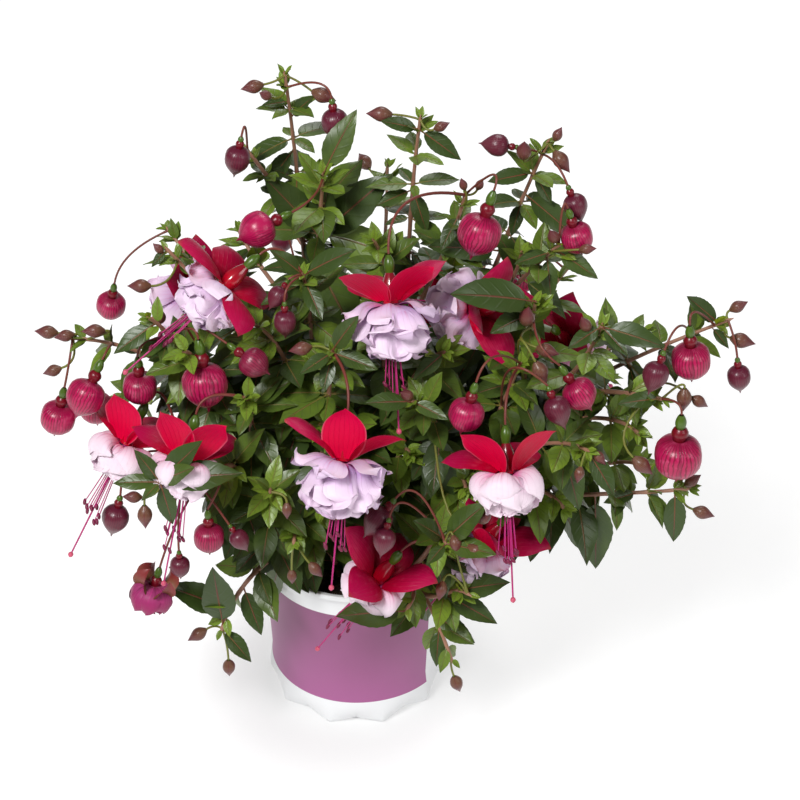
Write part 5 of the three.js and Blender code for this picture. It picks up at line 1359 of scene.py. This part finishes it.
stem_skin = stem_material("stem", (0.34, 0.17, 0.11), (0.18, 0.085, 0.05))
stalk_skin = stem_material("stalk", (0.16, 0.2, 0.025), (0.17, 0.035, 0.025))
leaf_skin = leaf_material()
bud_skin = bud_material()
ovary_skin = ovary_material()
stem_skins = [stem_skin, leaf_skin, bud_skin, stalk_skin, ovary_skin]
calyx_skins = [
    calyx_material(),
    tube_material(),
    plain_material("thread", (0.36, 0.005, 0.1), (0.5, 0.02, 0.2), 0.4),
    plain_material("anther", (0.12, 0.004, 0.03), (0.22, 0.01, 0.06), 0.5),
    plain_material("stigma", (0.62, 0.1, 0.17), (0.5, 0.05, 0.12), 0.45),
    ovary_skin,
]
# for each corolla the pale rim, the darker middle, which also paints shade in the folds and on the petals'
# backs, and the magenta foot
lilac = corolla_material("petal_lilac", (0.82, 0.65, 0.8), (0.5, 0.31, 0.58), (0.56, 0.02, 0.27))
pale = corolla_material("petal_pale", (0.86, 0.71, 0.8), (0.78, 0.52, 0.68), (0.64, 0.04, 0.29))
spent_skin = corolla_material("petal_spent", (0.3, 0.012, 0.1), (0.34, 0.04, 0.16), (0.2, 0.004, 0.05))
faded_skin = stem_material("faded_sepal", (0.16, 0.1, 0.03), (0.22, 0.03, 0.03))
bud_skins = [bud_skin] * 4 + [ovary_skin, spent_skin, faded_skin]

for node, pile in piles.items():
    if node.startswith("leafy_stem"):
        pile.piece(f"fine_{node}", stem_skins, "leaf_and_stem", node)
    elif node.startswith("bud"):
        pile.piece(f"fine_{node}", bud_skins, "bud", node)
    elif node.endswith("_calyx"):
        pile.piece(f"fine_{node}", calyx_skins, "calyx", node)
    else:
        is_lilac = int(node.split("_")[1]) in LILAC
        pile.piece(f"fine_{node}", [lilac if is_lilac else pale], "corolla", node)


# The pot and its soil

LIP_OUT = 1.6
WALL = 1.4
FOOT_RADIUS = 56.5
WAIST_RADIUS = 54.5
WAIST_HEIGHT = 25
SHOULDER = RIM_RADIUS - LIP_OUT
# The shallow arches round the foot: how many, how deep, how high, and their half width in degrees
RECESSES = 10
RECESS = 4.5
RECESS_RISE = 3
RECESS_HALF = 17
# The pot's outline, as radius and height: the foot, the wall, the lip, and the inside down again
POT_OUTLINE = [
    (0.01, 0), (20, 0), (40, 0), (FOOT_RADIUS - 8, 0), (FOOT_RADIUS - 4, 0), (FOOT_RADIUS - 2.5, 0.1),
    (FOOT_RADIUS - 1, 1), (FOOT_RADIUS - 0.2, 2.4), (FOOT_RADIUS, 4), (FOOT_RADIUS, 6.5),
    (FOOT_RADIUS - 0.1, 9), (FOOT_RADIUS - 0.6, 13), (FOOT_RADIUS - 1.3, 18), (WAIST_RADIUS, WAIST_HEIGHT),
    (WAIST_RADIUS + 0.5, 36), (WAIST_RADIUS + 1.5, 57), (WAIST_RADIUS + 2.6, 80), (SHOULDER - 0.3, 101),
    (SHOULDER, POT_HEIGHT - 4.2), (SHOULDER + 0.4, POT_HEIGHT - 4), (RIM_RADIUS - 0.3, POT_HEIGHT - 3.8),
    (RIM_RADIUS, POT_HEIGHT - 3.3), (RIM_RADIUS, POT_HEIGHT - 0.7), (RIM_RADIUS - 0.3, POT_HEIGHT - 0.15),
    (RIM_RADIUS - 0.8, POT_HEIGHT), (SHOULDER - WALL + 0.5, POT_HEIGHT),
    (SHOULDER - WALL + 0.1, POT_HEIGHT - 0.4), (SHOULDER - WALL, 105), (WAIST_RADIUS - WALL, WAIST_HEIGHT),
    (FOOT_RADIUS - 11, 2.4), (0.01, 2.4),
]


def circle(radii, heights, angles):
    radii, heights = (np.broadcast_to(values, angles.shape) for values in (radii, heights))
    return np.stack([radii * np.cos(angles), radii * np.sin(angles), heights], axis=-1)


def make_pot():
    angles = np.linspace(0, TURN, 240, endpoint=False)
    spacing = 360 / RECESSES
    off = np.abs((angles / DEGREE + 90 + 720 + spacing / 2) % spacing - spacing / 2)
    recess = np.maximum(0, 1 - off / RECESS_HALF) ** 0.8
    rows = []
    for radius, z in POT_OUTLINE:
        share = recess if radius >= FOOT_RADIUS - 6 and z <= 18 else 0 * recess
        depth = RECESS * min(max(1 - (z - 4) / 10, 0), 1)
        rows.append(circle(radius - depth * share, z + RECESS_RISE * share * max(0, 1 - z / 7), angles))
    pile = Pile()
    pile.grid(np.array(rows), (0, 0, 0), 0, wrap=True)
    return pile


# The panel's ends, in radians from the front and positive to the right, and the heights of its edges, of
# which the lower one falls to the right, in metres
PANEL_LEFT, PANEL_RIGHT = -2.303, 0.948
PANEL_FOOT, PANEL_FALL, PANEL_TOP = 0.0196, 0.0035, 0.095
END_BLUR, EDGE_BLUR = 0.003, 0.0001


def blurred(value, edge, blur):
    """From 0 before an edge to 1 behind it."""
    return value.ramp(edge - blur, edge + blur)


def pot_material():
    skin = Shader("pot", 0.28, Specular_IOR_Level=0.5)
    x, y, z = skin.split(skin.place())
    turn = x.math("ARCTAN2", y * -1.0)
    low = PANEL_FOOT - turn.math("MAXIMUM", 0.0) ** 2.0 * PANEL_FALL
    panel = blurred(turn, PANEL_LEFT, END_BLUR) * (1 - blurred(turn, PANEL_RIGHT, END_BLUR))
    panel = panel * (blurred(z - low, 0, EDGE_BLUR) * (1 - blurred(z, PANEL_TOP, EDGE_BLUR)))
    # painted shade: the purple panel is darker towards its top
    painted_shade = (z + skin.noise(18, 2) * 0.02).ramp(0.02, 0.095)
    purple = skin.mix(painted_shade, (0.4, 0.11, 0.29), (0.27, 0.08, 0.19))
    white = skin.mix(skin.noise(25, 3), (0.9, 0.91, 0.92), (0.85, 0.86, 0.87))
    put(skin.tree, skin.sockets["Roughness"], panel * 0.12 + 0.3)
    skin.bump(skin.noise(700, 3) * 0.12 + panel * 0.6, 0.00015, 0.6)
    return skin.done(skin.mix(panel, white, purple))


make_pot().piece("fine_pot", [pot_material()], "pot", "pot")

SOIL_RADIUS = 55
SOIL_RINGS = 50
CRUMBS = 300
CRUMB_REACH = 52
PALE_CRUMBS = 13  # one crumb in so many is pale
# Down the soil's side and in to the middle of its bottom, as radius and height
SOIL_SIDE = [(55.4, SOIL_TOP - 3), (54, SOIL_TOP - 20), (52.2, 30), (43.5, 2.9), (0.01, 2.9)]


def soil_height(radius):
    return SOIL_TOP + SOIL_MOUND * (1 - radius / SOIL_RADIUS)


def make_soil():
    """A lumpy mound with crumbs of peat and bark on it, and a few pale grains."""
    angles = np.linspace(0, TURN, 120, endpoint=False)
    rng = np.random.default_rng(7)
    rows = []
    for radius in [0.01, *np.linspace(0, SOIL_RADIUS, SOIL_RINGS + 1)[1:]]:
        x, y = radius * np.cos(angles), radius * np.sin(angles)
        bumps = 0.9 * np.sin(x * 0.31 + 1.7 * np.cos(y * 0.23)) * np.cos(y * 0.37 + np.sin(x * 0.19))
        bumps += 0.6 * np.sin(x * 0.93 + y * 0.71) * np.cos(y * 1.07 - x * 0.4)
        bumps += 0.55 * (rng.random(len(angles)) - 0.5)
        rows.append(circle(radius, soil_height(radius) - 0.4 + bumps * min(1, radius / 6), angles))
    rows += [circle(radius, z, angles) for radius, z in SOIL_SIDE]
    pile = Pile()
    pile.grid(np.array(rows), (0, 0, 0), 0, wrap=True, flip=True)
    shares = np.linspace(-0.5, 0.5, 6)
    for i in range(CRUMBS):
        radius, angle = CRUMB_REACH * math.sqrt(rng.random()), TURN * rng.random()
        size = 0.8 + 2.2 * rng.random() ** 2
        centre = circle(radius, soil_height(radius) + 0.1 * size, np.array([angle]))[0]
        way = np.array([rng.random() - 0.5, rng.random() - 0.5, 0.3 * rng.random()])
        way /= np.linalg.norm(way)
        lumps = 0.8 + 0.4 * rng.random((6, 7))
        radii = 0.5 * size * oval(shares, 0.03)
        facts = (i % PALE_CRUMBS == 0, 0, rng.random())
        pile.tube(line(centre, way, shares * size * 1.5), radii, 7, 0, facts,
                  lambda k, _, lumps=lumps: lumps[k])
    return pile


def soil_material():
    skin = Shader("soil", 0.95, Specular_IOR_Level=0.2)
    pale_grain, _, _ = skin.facts()
    skin.bump(skin.noise(420, 6), 0.0015, 0.8)
    dark = skin.mix(skin.noise(160, 6).ramp(0.35, 0.7), (0.012, 0.008, 0.006), (0.06, 0.036, 0.022))
    return skin.done(skin.mix(pale_grain * 0.8, dark, (0.5, 0.47, 0.42)))


make_soil().piece("fine_soil", [soil_material()], "soil", "soil")


# Floor, light and camera

FLOOR_HALF = 8
# the middle of the soft shadow painted on the floor round the pot's foot
SHADOW_AT = (-0.012, -0.01)


def floor_material():
    """Pale, with a little glow of its own that keeps it evenly white, and less glow round the pot's foot,
    which paints a soft shadow there.
    """
    skin = Shader("floor", 0.6, Specular_IOR_Level=0.2, Emission_Color=(1, 1, 1, 1))
    x, y, _ = skin.split(skin.place())
    away = ((x - SHADOW_AT[0]) ** 2.0 + (y - SHADOW_AT[1]) ** 2.0) ** 0.5
    # painted shadow: the glow is weaker near the pot's foot
    put(skin.tree, skin.sockets["Emission Strength"], away.ramp(0.05, 0.125) * 0.24 + 0.475)
    return skin.done(skin.mix(skin.noise(3, 2), (0.41, 0.41, 0.41), (0.43, 0.43, 0.43)))


def add_to_scene(name, data):
    thing = bpy.data.objects.new(name, data)
    bpy.context.scene.collection.objects.link(thing)
    return thing


def aimed(thing, place, target):
    thing.location = place
    thing.rotation_euler = (Vector(target) - Vector(place)).to_track_quat("-Z", "Y").to_euler()


mesh = bpy.data.meshes.new("floor")
corners = [(x * FLOOR_HALF, y * FLOOR_HALF, 0) for x, y in ((-1, -1), (1, -1), (1, 1), (-1, 1))]
mesh.from_pydata(corners, [], [(0, 1, 2, 3)])
mesh.materials.append(floor_material())
add_to_scene("floor", mesh)

for name, place, target, size, power in [
    ("key", (-0.7, -1.2, 1.9), (0, 0, 0.2), 0.7, 45),
    ("fill", (1.4, -0.9, 1.2), (0, 0, 0.2), 0.9, 8),
    ("rim", (0.3, 1.5, 1.6), (0, 0, 0.25), 0.9, 12),
]:
    light = bpy.data.lights.new(name, "AREA")
    light.shape = "DISK"
    light.size = size
    light.energy = power
    aimed(add_to_scene(name, light), place, target)

world = bpy.data.worlds.new("studio")
world.use_nodes = True
sky = world.node_tree.nodes["Background"].inputs
sky["Color"].default_value = (1, 1, 1, 1)
sky["Strength"].default_value = 0.13
bpy.context.scene.world = world
bpy.context.scene.view_settings.view_transform = "Standard"

lens = bpy.data.cameras.new("camera")
lens.sensor_width = 36
lens.lens = FOCAL / (2 * CENTRE) * lens.sensor_width
lens.clip_end = 20
camera = add_to_scene("camera", lens)
aimed(camera, CAMERA_AT / 1000, Vector((ACROSS, 0, HIGH)) / 1000)
bpy.context.scene.camera = camera
